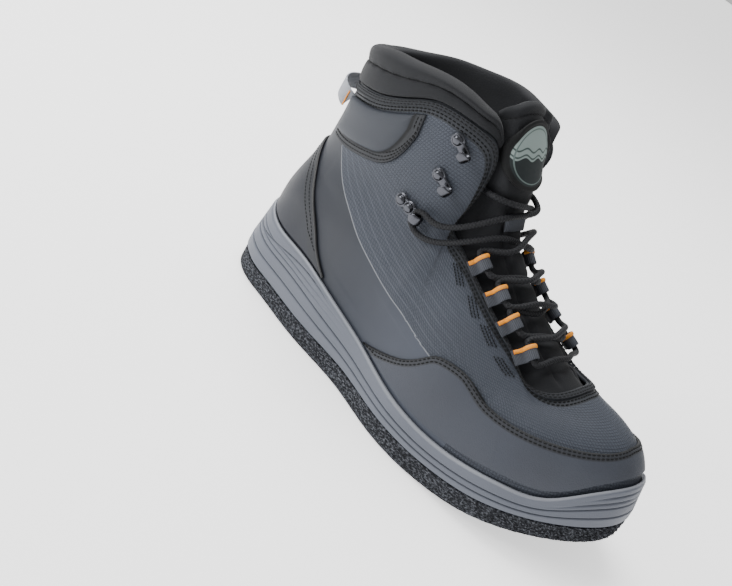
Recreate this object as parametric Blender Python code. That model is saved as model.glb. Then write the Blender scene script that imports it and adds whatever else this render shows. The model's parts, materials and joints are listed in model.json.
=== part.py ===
"""Wading boot, right foot: felt sole, foam midsole, one hollow upper and the pieces sewn and laced on to it.

Metres, +Z up, +Y to the toe, +X to the outer side. Each surface follows one last: ring(turn, level)
gives a point on it, where turn is the share of half a turn round the boot from the toe ridge (0) to
the heel ridge (1), positive on the outer side, and level rises from the feather edge (0) to above the
collar (1). Tables hold shares of the named sizes, a row for each section.
"""
import bmesh
import bpy
import numpy as np

# Last and sole
SOLE_LENGTH = 0.322
BALL_WIDTH = 0.122
UPPER_HEIGHT = 0.184
HEEL_STACK = 0.052
TOE_SPRING = 0.029
FELT_THICKNESS = 0.012
FELT_BEVEL = 0.001
RIM_THICKNESS = 0.0032
LEDGE = 0.005
GROOVE_DEPTH = 0.0009

# Walls, foam and clearances
WALL = 0.0024
GAP = 0.0003
OVERLAY_GAP = 0.0007
LINING_GAP = 0.0015
INSOLE_THICKNESS = 0.005
OVERLAY_THICKNESS = 0.0012
PAD_HEIGHT = 0.0028
BINDING_THICKNESS = 0.001
BINDING_WIDTH = 0.0045
CUFF_FOAM = 0.007
CUFF_SWELL = 0.0035
# Of the cuff: least climb and start of its outside in levels, half turn and foam share of its ends
CUFF_CLIMB = 0.012
CUFF_START = 0.004
CUFF_WING = 0.12
CUFF_WING_FOAM = 0.3
# Top of the ankle pad below the edge, in binding widths
PAD_TOP = 1.6

# Lacing
LACE_DIAMETER = 0.0038
LOOP_WIDTH = 0.0095
LOOP_SEAT = 0.0024
EYE_GAP = 0.0009
WEB_THICKNESS = 0.0012
HOOK_WIDTH = 0.005
HOOK_METAL = 0.0012
HOOK_REAR = 0.0050
HOOK_FRONT = 0.0085
RIVET_BACK = 0.0010
RIVET_RADIUS = 0.0034
RIVET_PITCH = 0.0075
BADGE_RADIUS = 0.0215
BADGE_THICKNESS = 0.001
BADGE_GAP = 0.0024
PULL_LOOP_WIDTH = 0.012
PULL_LOOP_SPAN = 0.034
PULL_LOOP_REACH = 0.011
PULL_LOOP_LIFT = 0.0055
PULL_LOOP_LEVEL = 0.800

# Outline of the sole: share of length from the heel; outer and inner half width, axis, shares of ball width
PLAN = np.array([
    (0.00, 0.340, 0.330, 0.000),
    (0.12, 0.350, 0.345, 0.000),
    (0.28, 0.410, 0.335, 0.005),
    (0.42, 0.425, 0.325, 0.010),
    (0.56, 0.500, 0.390, 0.010),
    (0.68, 0.505, 0.480, 0.000),
    (0.80, 0.480, 0.500, -0.020),
    (0.90, 0.430, 0.460, -0.045),
    (1.00, 0.380, 0.400, -0.070),
])
# End rounding of the outline: share of length that it takes, power of its curve
TOE_ROUND = (0.24, 2.3)
HEEL_ROUND = (0.13, 2.2)
FLAT_END = 0.62

# Side of the sole: share of length; deck under the foot and top of the rim, shares of heel stack
SOLE_SIDE = np.array([
    (0.00, 0.59, 1.00),
    (0.07, 0.59, 0.90),
    (0.22, 0.57, 0.88),
    (0.34, 0.53, 0.76),
    (0.47, 0.48, 0.61),
    (0.59, 0.44, 0.54),
    (0.72, 0.43, 0.53),
    (0.82, 0.43, 0.54),
    (0.90, 0.43, 0.57),
    (0.95, 0.43, 0.76),
    (1.00, 0.43, 0.87),
])

# Front ridge of the last: share of length, share of upper height above the deck
FRONT = np.array([
    (0.984, 0.000),
    (0.983, 0.050),
    (0.977, 0.110),
    (0.958, 0.170),
    (0.907, 0.260),
    (0.832, 0.322),
    (0.745, 0.374),
    (0.658, 0.442),
    (0.578, 0.518),
    (0.510, 0.592),
    (0.470, 0.676),
    (0.448, 0.770),
    (0.437, 0.855),
    (0.428, 0.947),
    (0.420, 1.027),
])
# Heel ridge of the last: the same columns
BACK = np.array([
    (0.022, 0.000),
    (0.016, 0.122),
    (0.020, 0.241),
    (0.030, 0.366),
    (0.036, 0.507),
    (0.044, 0.659),
    (0.044, 0.822),
    (0.038, 1.000),
])
# Shaft: share of upper height; outer and inner half width, shares of ball width
SHAFT = np.array([
    (0.032, 0.310, 0.300),
    (0.230, 0.305, 0.295),
    (0.369, 0.290, 0.285),
    (0.527, 0.300, 0.295),
    (0.676, 0.335, 0.330),
    (0.825, 0.365, 0.365),
    (1.000, 0.380, 0.380),
])
SHAFT_POWER = 2.2
# Where the foot's arch gives way to the shaft, shares of upper height: base, climb along the length, depth
BLEND = (0.170, 0.298, 0.248)
# Arch over the foot: share of length, power across, power upwards
ARCH = np.array([
    (0.00, 2.6, 2.4),
    (0.40, 2.2, 2.0),
    (0.65, 2.2, 1.9),
    (0.85, 2.3, 2.2),
    (1.00, 2.4, 2.4),
])

# Edge of the upper, from the closed end of the throat to the heel: turn, level, and the turn at the
# feather edge from which the wall rises to it
TOP_EDGE = np.array([
    (0.000, 0.345, 0.00),
    (0.070, 0.340, 0.07),
    (0.130, 0.335, 0.13),
    (0.162, 0.346, 0.18),
    (0.165, 0.372, 0.22),
    (0.148, 0.410, 0.25),
    (0.142, 0.455, 0.28),
    (0.158, 0.515, 0.32),
    (0.183, 0.573, 0.36),
    (0.210, 0.628, 0.40),
    (0.236, 0.665, 0.44),
    (0.215, 0.700, 0.47),
    (0.181, 0.735, 0.49),
    (0.150, 0.790, 0.52),
    (0.143, 0.835, 0.54),
    (0.158, 0.872, 0.56),
    (0.192, 0.895, 0.58),
    (0.245, 0.911, 0.60),
    (0.328, 0.924, 0.63),
    (0.420, 0.924, 0.67),
    (0.511, 0.903, 0.71),
    (0.622, 0.876, 0.76),
    (0.720, 0.862, 0.82),
    (0.869, 0.846, 0.91),
    (1.000, 0.840, 1.00),
])
EDGE_SWEEP = 2.2
SIDE_COLUMNS = 26
OUTER_ROWS = 15
INNER_ROWS = 12

# Upper line of the toe rand, from one side over the toe to the other: turn, level
RAND_LINE = np.array([
    (0.500, 0.150),
    (0.440, 0.255),
    (0.378, 0.325),
    (0.335, 0.350),
    (0.305, 0.335),
    (0.300, 0.297),
    (0.297, 0.250),
    (0.272, 0.223),
    (0.231, 0.205),
    (0.186, 0.195),
    (0.136, 0.190),
    (0.072, 0.190),
    (0.000, 0.195),
])
# Upper line of the heel counter, from its front edge to the heel ridge: turn, level
COUNTER_FOOT = 0.640
COUNTER_LINE = np.array([
    (0.653, 0.367),
    (0.672, 0.478),
    (0.744, 0.585),
    (0.840, 0.645),
    (0.908, 0.667),
    (1.000, 0.672),
])
# Lower curve of the ankle pad, which ends under the top edge: turn, level
PAD = np.array([
    (0.800, 0.722),
    (0.747, 0.722),
    (0.642, 0.733),
    (0.569, 0.745),
    (0.519, 0.757),
    (0.481, 0.780),
    (0.455, 0.810),
    (0.435, 0.850),
])
# Rim of the cuff: turn, level
CUFF_RIM = np.array([
    (0.143, 0.897),
    (0.165, 0.922),
    (0.236, 0.952),
    (0.328, 0.966),
    (0.447, 0.968),
    (0.567, 0.957),
    (0.694, 0.945),
    (0.820, 0.930),
    (1.000, 0.921),
])
# Lower end of the cuff inside the upper: turn, level
CUFF_FOOT = np.array([
    (0.143, 0.850),
    (0.200, 0.840),
    (0.260, 0.842),
    (0.400, 0.852),
    (0.600, 0.820),
    (1.000, 0.770),
])
# Section of the cuff: share of the way from the upper's edge to the rim, share of foam, share of swell
CUFF_SECTION = [
    (0.10, 0.0, 0.45),
    (0.30, 0.0, 0.95),
    (0.50, 0.0, 0.85),
    (0.57, 0.0, 0.45),
    (0.65, 0.0, 0.90),
    (0.85, 0.0, 1.00),
    (0.97, 0.25, 0.70),
    (1.00, 0.55, 0.30),
    (0.96, 0.90, 0.10),
    (0.70, 1.0, 0.0),
    (0.30, 1.0, 0.0),
]

# Tongue: level, half turn of its width, half turn left free by the upper, flat share of that, then height
# of its middle, height of its edges and thickness in shares of CUFF_FOAM
TONGUE = np.array([
    (0.300, 0.110, 0.050, 0.0, -0.70, -0.70, 0.50),
    (0.335, 0.165, 0.050, 0.0, -0.70, -0.70, 0.60),
    (0.375, 0.190, 0.110, 0.0, -0.20, -0.72, 0.80),
    (0.430, 0.190, 0.112, 0.0, 0.25, -0.75, 0.95),
    (0.500, 0.195, 0.120, 0.0, 0.35, -0.75, 1.00),
    (0.570, 0.220, 0.140, 0.0, 0.40, -0.75, 1.05),
    (0.630, 0.245, 0.160, 0.1, 0.45, -0.75, 1.10),
    (0.690, 0.235, 0.150, 0.2, 0.65, -0.75, 1.10),
    (0.740, 0.215, 0.143, 0.4, 0.90, -0.90, 1.10),
    (0.790, 0.205, 0.159, 0.5, 0.90, -1.15, 1.10),
    (0.835, 0.200, 0.172, 0.5, 0.55, -1.35, 1.10),
    (0.890, 0.200, 0.180, 0.5, 0.00, -1.65, 1.10),
    (0.950, 0.200, 0.190, 0.5, -0.65, -1.75, 1.10),
    (1.000, 0.195, 0.190, 0.5, -1.10, -1.80, 0.90),
])
TONGUE_DROOP = 0.055
BADGE_LEVEL = 0.872
KEEPER_LEVEL = 0.690
KEEPER_TURN = 0.055
KEEPER_REACH = 0.020

# Lace loops: turn and level of the sewn end, turn and level of the bartack
LACE_LOOPS = [
    (0.200, 0.586, 0.161, 0.598),
    (0.173, 0.526, 0.133, 0.537),
    (0.160, 0.469, 0.122, 0.482),
    (0.160, 0.408, 0.117, 0.419),
]
# Lace hooks: turn and level of the rivet, turn and level of the crook, rivets
HOOKS = [
    (0.300, 0.873, 0.261, 0.848, 1),
    (0.314, 0.785, 0.281, 0.763, 1),
    (0.378, 0.688, 0.340, 0.672, 2),
]
# Section of a hook in its own plane: along and above its seat
HOOK_SECTION = [
    (0.0060, 0.0000),
    (0.0085, 0.0000),
    (0.0108, 0.0012),
    (0.0120, 0.0038),
    (0.0108, 0.0064),
    (0.0085, 0.0075),
    (0.0045, 0.0072),
]


def cubic(xs, ys, x):
    """Natural cubic spline through (xs, ys), at x."""
    count = len(xs)
    step = np.diff(xs)
    matrix = np.eye(count)
    bend = np.zeros(count)
    for i in range(1, count - 1):
        matrix[i, i - 1 : i + 2] = step[i - 1], 2 * (step[i - 1] + step[i]), step[i]
        bend[i] = 6 * ((ys[i + 1] - ys[i]) / step[i] - (ys[i] - ys[i - 1]) / step[i - 1])
    moment = np.linalg.solve(matrix, bend)
    x = np.clip(x, xs[0], xs[-1])
    i = np.clip(np.searchsorted(xs, x) - 1, 0, count - 2)
    after, before = x - xs[i], xs[i + 1] - x
    left = ys[i] / step[i] - moment[i] * step[i] / 6
    right = ys[i + 1] / step[i] - moment[i + 1] * step[i] / 6
    return (moment[i] * before**3 + moment[i + 1] * after**3) / (6 * step[i]) + left * before + right * after


def track(points, share):
    """Smooth curve through the rows of points, by share of its chord length."""
    step = np.linalg.norm(np.diff(points, axis=0), axis=1)
    place = np.concatenate([[0], np.cumsum(step)]) / step.sum()
    return np.stack([cubic(place, column, share) for column in points.T], -1)


def smooth(x):
    """Smooth step from 0 to 1."""
    x = np.clip(x, 0, 1)
    return x * x * (3 - 2 * x)


def rocker(y):
    """Height of the sole's underside."""
    return TOE_SPRING * np.clip((y / SOLE_LENGTH - FLAT_END) / (1 - FLAT_END), 0, 1) ** 2


def deck(y):
    """Height of the footbed inside the midsole."""
    return rocker(y) + HEEL_STACK * cubic(SOLE_SIDE[:, 0], SOLE_SIDE[:, 1], y / SOLE_LENGTH)


def sole_top(y):
    """Height of the midsole's rim."""
    return rocker(y) + HEEL_STACK * cubic(SOLE_SIDE[:, 0], SOLE_SIDE[:, 2], y / SOLE_LENGTH)


def axis(y):
    """Sideways place of the boot's axis, which curves inwards at the toe."""
    return BALL_WIDTH * cubic(PLAN[:, 0], PLAN[:, 3], y / SOLE_LENGTH)


def plan(y, side, inset):
    """Half width of the sole's outline, drawn in by inset."""
    share = (y - inset) / (SOLE_LENGTH - 2 * inset)
    toe = np.clip((share - 1 + TOE_ROUND[0]) / TOE_ROUND[0], 0, 1)
    heel = np.clip((HEEL_ROUND[0] - share) / HEEL_ROUND[0], 0, 1)
    rounding = (1 - toe ** TOE_ROUND[1]) ** (1 / TOE_ROUND[1]) * (1 - heel ** HEEL_ROUND[1]) ** (1 / HEEL_ROUND[1])
    half = np.where(side > 0, cubic(PLAN[:, 0], PLAN[:, 1], share), cubic(PLAN[:, 0], PLAN[:, 2], share))
    return (half * BALL_WIDTH - inset) * rounding


def outline(turn, inset):
    """Point of the sole's outline in plan."""
    along = (1 + np.cos(np.pi * turn)) / 2
    side = np.where(turn >= 0, 1.0, -1.0)
    y = inset + (SOLE_LENGTH - 2 * inset) * along
    return np.stack([axis(y) + side * plan(y, side, inset), y], -1)


def ridge(table):
    """Side view of a ridge of the last in metres, at 400 steps of its length."""
    line = track(table, STEPS)
    y = SOLE_LENGTH * line[:, 0]
    return np.stack([y, deck(y) + UPPER_HEIGHT * line[:, 1]], -1)


STEPS = np.linspace(0, 1, 400)
FRONT_LINE = ridge(FRONT)
BACK_LINE = ridge(BACK)


def half_width(y, z, side):
    """Half width of the last at a point of its side view: an arch over the foot, an oval in the shaft."""
    top = np.interp(-y, -FRONT_LINE[:, 0], FRONT_LINE[:, 1])
    back = np.interp(z, BACK_LINE[:, 1], BACK_LINE[:, 0])
    front = np.interp(z, FRONT_LINE[:, 1], FRONT_LINE[:, 0])
    across = cubic(ARCH[:, 0], ARCH[:, 1], y / SOLE_LENGTH)
    upwards = cubic(ARCH[:, 0], ARCH[:, 2], y / SOLE_LENGTH)
    lift = np.clip((z - deck(y)) / np.maximum(top - deck(y), 1e-6), 0, 1)
    lean = (back - LEDGE) * np.clip(1 - 2 * (y - back) / SOLE_LENGTH, 0, 1)
    foot = plan(y - lean, side, LEDGE) * (1 - lift**upwards) ** (1 / across)
    share = (z - BACK_LINE[0, 1]) / UPPER_HEIGHT
    column = np.where(side > 0, cubic(SHAFT[:, 0], SHAFT[:, 1], share), cubic(SHAFT[:, 0], SHAFT[:, 2], share))
    along = np.clip(np.abs((2 * y - front - back) / (front - back)), 0, 1)
    shaft = BALL_WIDTH * column * (1 - along**SHAFT_POWER) ** (1 / SHAFT_POWER)
    mix = smooth((share - BLEND[0] - BLEND[1] * y / SOLE_LENGTH) / BLEND[2])
    return foot * (1 - mix) + shaft * mix


def ring(turn, level):
    """Point of the last."""
    turn, level = np.broadcast_arrays(np.asarray(turn, float), np.asarray(level, float))
    along = (1 + np.cos(np.pi * turn)) / 2
    side = np.where(np.sin(np.pi * turn) >= 0, 1.0, -1.0)
    rise = 0.25 * level + 0.75 * level**3
    front_y, front_z = (np.interp(level, STEPS, column) for column in FRONT_LINE.T)
    back_y, back_z = (np.interp(rise, STEPS, column) for column in BACK_LINE.T)
    y = back_y + along * (front_y - back_y)
    z = back_z + along**2.5 * (front_z - back_z)
    foot_y = BACK_LINE[0, 0] + along * (FRONT_LINE[0, 0] - BACK_LINE[0, 0])
    foot_z = BACK_LINE[0, 1] + along**2.5 * (FRONT_LINE[0, 1] - BACK_LINE[0, 1])
    z = z + (1 - level) ** 4 * (deck(foot_y) - foot_z)
    return np.stack([axis(y) + side * half_width(y, z, side), y, z], -1)


def normal(turn, level):
    """Outward normal of the last."""
    step = 0.004
    up = ring(turn, np.clip(level + step, 0, 1)) - ring(turn, np.clip(level - step, 0, 1))
    round_boot = ring(turn + step, level) - ring(turn - step, level)
    cross = np.cross(up, round_boot)
    return cross / np.linalg.norm(cross, axis=-1, keepdims=True)


def surface(turn, level, height):
    """Point at a height above the last."""
    return ring(turn, level) + normal(turn, level) * np.asarray(height, float)[..., None]


def rim_level(turn):
    """Level at which the last leaves the midsole's rim."""
    low, high = np.zeros_like(turn), np.full_like(turn, 0.6)
    for _ in range(30):
        middle = (low + high) / 2
        point = ring(turn, middle)
        above = point[..., 2] > sole_top(point[..., 1])
        low, high = np.where(above, low, middle), np.where(above, middle, high)
    return low


def edge_level(turn):
    """Level of the upper's top edge behind the eyestay."""
    behind = EDGE[np.argmax(EDGE[:, 1] > 0.865) :]
    return np.interp(turn, behind[:, 0], behind[:, 1])


def material(name, colour, roughness, metallic=0.0):
    """Plain material with one colour."""
    made = bpy.data.materials.new(name)
    made.use_nodes = True
    shader = made.node_tree.nodes["Principled BSDF"]
    shader.inputs["Base Color"].default_value = (*colour, 1)
    shader.inputs["Roughness"].default_value = roughness
    shader.inputs["Metallic"].default_value = metallic
    return made


def add(name, data, look):
    """Object of the boot, placed by the empty that carries it."""
    made = bpy.data.objects.new(name, data)
    data.materials.append(look)
    bpy.context.collection.objects.link(made)
    made.parent = boot
    return made


def solid(name, points, faces, look):
    """Closed mesh object with its faces turned outwards."""
    mesh = bpy.data.meshes.new(name)
    mesh.from_pydata([tuple(point) for point in points], [], faces)
    work = bmesh.new()
    work.from_mesh(mesh)
    bmesh.ops.recalc_face_normals(work, faces=work.faces)
    work.to_mesh(mesh)
    work.free()
    mesh.shade_smooth()
    mesh.set_sharp_from_angle(angle=np.radians(38))
    return add(name, mesh, look)


def cap(count, mirror):
    """Faces across a loop, from each point to the one with the mirrored number."""
    faces = []
    for k in range(count // 2):
        corners = [k, k + 1, (mirror - k - 1) % count, (mirror - k) % count]
        corners = list(dict.fromkeys(corners))
        if len(corners) > 2:
            faces.append(corners)
    return faces


def loft(name, sections, look, mirror=None):
    """Solid through closed sections. With mirror the first and last are capped, without it they join."""
    sections = np.asarray(sections, float)
    count, points = sections.shape[:2]
    faces = []
    for i in range(count if mirror is None else count - 1):
        a, b = i * points, (i + 1) % count * points
        for k in range(points):
            after = (k + 1) % points
            faces.append([a + k, a + after, b + after, b + k])
    if mirror is not None:
        last = (count - 1) * points
        faces += cap(points, mirror)
        faces += [[last + k for k in face] for face in cap(points, mirror)]
    return solid(name, sections.reshape(-1, 3), faces, look)


def patch(name, turn, level, inner, outer, look):
    """Sheet on the last between two heights, over a grid of turns and levels."""
    inside = surface(turn, level, inner)
    outside = surface(turn, level, outer)
    sections = np.concatenate([outside, inside[:, ::-1]], axis=1)
    return loft(name, sections, look, mirror=sections.shape[1] - 1)


def round_boot(line):
    """Values for a full turn from those of the outer side, toe ridge first."""
    return np.concatenate([line, line[-2:0:-1]])


for leftover in list(bpy.data.objects):
    bpy.data.objects.remove(leftover, do_unlink=True)
boot = bpy.data.objects.new("boot", None)
bpy.context.collection.objects.link(boot)

FELT = material("felt", (0.028, 0.029, 0.031), 0.95)
FOAM = material("midsole foam", (0.13, 0.14, 0.16), 0.6)
SHELL = material("coated fabric", (0.055, 0.06, 0.068), 0.55)
OVERLAY = material("overlay", (0.045, 0.049, 0.057), 0.5)
NEOPRENE = material("neoprene", (0.018, 0.019, 0.021), 0.8)
WEB = material("webbing", (0.09, 0.09, 0.095), 0.75)
CORD = material("cord", (0.03, 0.032, 0.036), 0.8)
METAL = material("dark metal", (0.12, 0.12, 0.13), 0.3, 0.9)
BADGE = material("badge", (0.35, 0.39, 0.38), 0.6)
FOOTBED = material("footbed", (0.05, 0.05, 0.055), 0.9)

EDGE = track(TOP_EDGE, np.linspace(0, 1, SIDE_COLUMNS + 1))
FEET = EDGE[:, 2]
TURNS = np.concatenate([FEET, -FEET[-2:0:-1]])


def felt_outsole():
    """Felt sheet with a bevelled lower edge."""
    sections = []
    for inset, height in ((FELT_BEVEL, 0), (0, FELT_BEVEL), (0, FELT_THICKNESS)):
        plane = outline(TURNS, inset)
        sections.append(np.column_stack([plane, rocker(plane[:, 1]) + height]))
    loft("felt_outsole", sections, FELT, mirror=0)


def midsole():
    """Cup with a grooved side that rises round the upper, and a deck under it."""
    # Side from the felt up: share of its height, stand-out and groove, in metres
    side = [
        (0.00, -0.0008, 0),
        (0.06, 0.0010, 0),
        (0.27, 0.0014, 0),
        (0.31, 0.0014, 1),
        (0.35, 0.0014, 0),
        (0.50, 0.0008, 0),
        (0.54, 0.0008, 1),
        (0.58, 0.0008, 0),
        (0.92, 0.0, 0),
        (1.00, -0.0012, 0),
    ]
    level = rim_level(TURNS)
    top = surface(TURNS, level, GAP + RIM_THICKNESS)
    top[:, 2] = sole_top(top[:, 1])
    foot = outline(TURNS, 0)
    foot = np.column_stack([foot, rocker(foot[:, 1]) + FELT_THICKNESS + GAP])
    outward = normal(TURNS, np.zeros_like(TURNS))
    sections = []
    for share, stand_out, groove in side:
        point = foot + (top - foot) * share
        sections.append(point + outward * (stand_out - groove * GROOVE_DEPTH))
    for share in (0.96, 0.5, 0.0):
        sections.append(surface(TURNS, level * share, OVERLAY_GAP))
    sections[-1][:, 2] = deck(sections[-1][:, 1]) - GAP
    loft("midsole", sections, FOAM, mirror=0)


def edge_column(share):
    """Turns and levels of the upper's wall at a share of the way from the feather edge to its own edge."""
    turn = EDGE[:, 2] + (EDGE[:, 0] - EDGE[:, 2]) * share**EDGE_SWEEP
    return np.concatenate([turn, -turn[-2:0:-1]]), round_boot(EDGE[:, 1] * share)


def upper():
    """Hollow wall from the feather edge to the throat and the top edge."""
    sections = []
    for rows, height in ((np.linspace(0, 1, OUTER_ROWS), 0.0), (np.linspace(1, 0, INNER_ROWS), -WALL)):
        for share in rows:
            turn, level = edge_column(share)
            sections.append(surface(turn, level, np.full_like(turn, height)))
    loft("upper", sections, SHELL)


def insole():
    """Footbed inside the foot of the wall."""
    sections = []
    foot = surface(TURNS, np.zeros_like(TURNS), -WALL - 2 * LINING_GAP)
    for height in (0, INSOLE_THICKNESS):
        sections.append(np.column_stack([foot[:, :2], deck(foot[:, 1]) + height]))
    loft("insole", sections, FOOTBED, mirror=0)


def rand_and_counter():
    """Overlays round the toe and the heel, from the midsole's rim up to their seams."""
    line = track(RAND_LINE, np.linspace(0, 1, 20))
    turn = np.concatenate([line[:, 0], -line[-2::-1, 0]])
    high = np.concatenate([line[:, 1], line[-2::-1, 1]])
    low = rim_level(turn) + LEDGE / UPPER_HEIGHT
    rows = np.array([0.0, 0.33, 0.66, 0.96, 1.0])
    level = low[:, None] + (high - low)[:, None] * rows
    thickness = OVERLAY_THICKNESS * np.array([0.8, 1, 1, 1, 0.6])
    grid = np.broadcast_to(turn[:, None], level.shape)
    patch("toe_rand", grid, level, np.full(level.shape, OVERLAY_GAP), OVERLAY_GAP + thickness * np.ones_like(level), OVERLAY)

    # Each column of the counter rises from the rim to a point of its upper line
    line = track(COUNTER_LINE, np.linspace(0, 1, 10))
    line = np.concatenate([line, line[-2::-1] * (-1, 1) + (2, 0)])
    foot = np.linspace(COUNTER_FOOT, 2 - COUNTER_FOOT, len(line))
    outer_side = np.where(foot > 1, foot - 2, foot)
    low = rim_level(outer_side) + LEDGE / UPPER_HEIGHT
    rows = np.linspace(0, 1, 7)
    turn = foot[:, None] + (line[:, 0] - foot)[:, None] * rows
    level = low[:, None] + (line[:, 1] - low)[:, None] * rows
    inner = np.full_like(level, OVERLAY_GAP)
    patch("heel_counter", turn, level, inner, inner + OVERLAY_THICKNESS, OVERLAY)


def ankle_pads():
    """Pillow panels under the top edge, one on each side."""
    count = 10
    table = track(PAD, np.linspace(0, 1, count))
    rows = np.linspace(0, 1, 6)
    high = edge_level(table[:, 0]) - PAD_TOP * BINDING_WIDTH / UPPER_HEIGHT
    level = table[:, 1, None] + (high - table[:, 1])[:, None] * rows
    across = np.sin(np.pi * np.linspace(0, 1, count))[:, None]
    pillow = np.clip(np.minimum(across, np.sin(np.pi * rows)[None, :]) * 1.6 - 0.25, 0, 1)
    outer = OVERLAY_GAP + OVERLAY_THICKNESS + PAD_HEIGHT * smooth(pillow)
    turn = np.broadcast_to(table[:, 0, None], level.shape)
    for side, sign in (("outer", 1), ("inner", -1)):
        patch("ankle_pad_" + side, sign * turn, level, np.full(level.shape, OVERLAY_GAP), outer, OVERLAY)


def edge_binding():
    """Raised band along the throat and the top edge of the upper."""
    near = ring(*edge_column(0.9)) - ring(*edge_column(1.0))
    reach = np.linalg.norm(near, axis=1)[: SIDE_COLUMNS + 1] / 0.1
    sections = []
    for width, height in ((1.0, 0), (1.0, 0.8), (0.5, 1.0), (0.1, 0.8), (0.1, 0)):
        turn, level = edge_column(1 - width * BINDING_WIDTH / reach)
        sections.append(surface(turn, level, np.full_like(turn, OVERLAY_GAP + BINDING_THICKNESS * height)))
    loft("edge_binding", sections, NEOPRENE)


def cuff():
    """Foam collar that rises from inside the upper, with a wing at each end of its ring."""
    side = np.linspace(0, 1, 19)
    turn = CUFF_RIM[0, 0] + (1 - CUFF_RIM[0, 0]) * side
    turn = np.concatenate([turn, 2 - turn[-2::-1]])
    outer_side = np.where(turn > 1, 2 - turn, turn)
    rim = cubic(CUFF_RIM[:, 0], CUFF_RIM[:, 1], outer_side)
    foot = cubic(CUFF_FOOT[:, 0], CUFF_FOOT[:, 1], outer_side)
    edge = np.minimum(edge_level(outer_side), rim - CUFF_CLIMB)
    outside = -WALL - LINING_GAP
    sections = [surface(turn, foot, np.full_like(turn, outside))]
    sections.append(surface(turn, edge + CUFF_START, np.full_like(turn, outside)))
    wing = smooth((outer_side - CUFF_RIM[0, 0]) / CUFF_WING)
    inside = outside - CUFF_FOAM * (CUFF_WING_FOAM + (1 - CUFF_WING_FOAM) * wing)
    for share, depth, swell in CUFF_SECTION:
        level = edge + (rim - edge) * share + CUFF_START * (1 - share)
        height = outside + (inside - outside) * depth + (CUFF_SWELL - outside) * swell * (0.25 + 0.75 * wing)
        sections.append(surface(turn, level, height))
    sections.append(surface(turn, edge, inside))
    sections.append(surface(turn, foot, inside))
    sections = np.stack(sections, axis=1)
    loft("cuff", sections, NEOPRENE, mirror=sections.shape[1] - 1)


def tongue_height(turn, level):
    """Height of the tongue's outer face above the last."""
    free, flat, middle, edge = (cubic(TONGUE[:, 0], TONGUE[:, k], level) for k in (2, 3, 4, 5))
    share = smooth((free - np.abs(turn)) / (free * (1 - flat)))
    return CUFF_FOAM * (edge + (middle - edge) * share)


def tongue():
    """Padded tongue under the throat, with its badge and lace keeper."""
    row = np.linspace(TONGUE[0, 0], TONGUE[-1, 0], 17)[:, None]
    across = np.linspace(-1, 1, 13)
    turn = cubic(TONGUE[:, 0], TONGUE[:, 1], row) * across
    level = row - TONGUE_DROOP * smooth((row - 0.7) / 0.3) * across**2
    outer = tongue_height(turn, level)
    inner = outer - CUFF_FOAM * cubic(TONGUE[:, 0], TONGUE[:, 6], row) * (1 - 0.45 * across**4)
    patch("tongue", turn, level, inner, outer, NEOPRENE)

    # Badge: a disc of rings in the plane of the tongue's front
    turns = np.linspace(-0.2, 0.2, 81)
    across = ring(turns, BADGE_LEVEL)[:, 0] - ring(0.0, BADGE_LEVEL)[0]
    height = np.linalg.norm(ring(0.0, BADGE_LEVEL + 0.05) - ring(0.0, BADGE_LEVEL)) / 0.05
    angle = np.linspace(0, 2 * np.pi, 21)[:-1]
    sections = []
    for radius, lift in ((0.02, 0), (0.45, 0), (0.75, 0), (1.0, 0), (1.0, 1), (0.75, 1), (0.45, 1), (0.02, 1)):
        disc_turn = np.interp(radius * BADGE_RADIUS * np.cos(angle), across, turns)
        disc_level = BADGE_LEVEL + radius * BADGE_RADIUS * np.sin(angle) / height
        seat = tongue_height(disc_turn, disc_level) + BADGE_GAP + lift * BADGE_THICKNESS
        sections.append(surface(disc_turn, disc_level, seat))
    loft("tongue_badge", sections, BADGE, mirror=0)

    turn, level = np.meshgrid(np.linspace(-1, 1, 7) * KEEPER_TURN, np.linspace(-1, 1, 4) * KEEPER_REACH, indexing="ij")
    level = level + KEEPER_LEVEL
    seat = tongue_height(turn, level) + OVERLAY_GAP
    patch("lace_keeper", turn, level, seat, seat + WEB_THICKNESS, WEB)


def seat_frame(turn, level, toward_turn, toward_level):
    """Origin on the last and its directions: towards the second point, across, and outwards."""
    origin = surface(turn, level, 0.0)
    outwards = normal(turn, level)
    along = surface(toward_turn, toward_level, 0.0) - origin
    reach = np.linalg.norm(along)
    along = along - outwards * (along @ outwards)
    along /= np.linalg.norm(along)
    return origin, along, np.cross(outwards, along), outwards, reach


def seat_height(frame, points):
    """Height of the last's highest point under a seat, over its origin."""
    origin, outwards = frame[0], frame[3]
    return float(((points - origin) @ outwards).max())


def place(frame, along, across, height):
    """Point in a seat's own directions."""
    origin, first, second, third = frame[:4]
    return origin + first * along + second * across + third * height


def offset_section(line, thickness):
    """Closed section round an open line, on its left side."""
    line = np.array(line)
    step = np.gradient(line, axis=0)
    step /= np.linalg.norm(step, axis=1, keepdims=True)
    other = line + np.column_stack([-step[:, 1], step[:, 0]]) * thickness
    return np.concatenate([line, other[::-1]])


def hook_seat(sign, turn, level, to_turn, to_level, rivets):
    """Frame of a hook, its base's rear end and the height that clears the upper's curve."""
    frame = seat_frame(sign * turn, level, sign * to_turn, to_level)
    rear = -HOOK_REAR - RIVET_PITCH * (rivets - 1)
    share = np.linspace(rear, HOOK_FRONT, 7) / frame[4]
    under = ring(sign * (turn + (to_turn - turn) * share), level + (to_level - level) * share)
    return frame, rear, seat_height(frame, under) + OVERLAY_GAP * rivets


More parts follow.
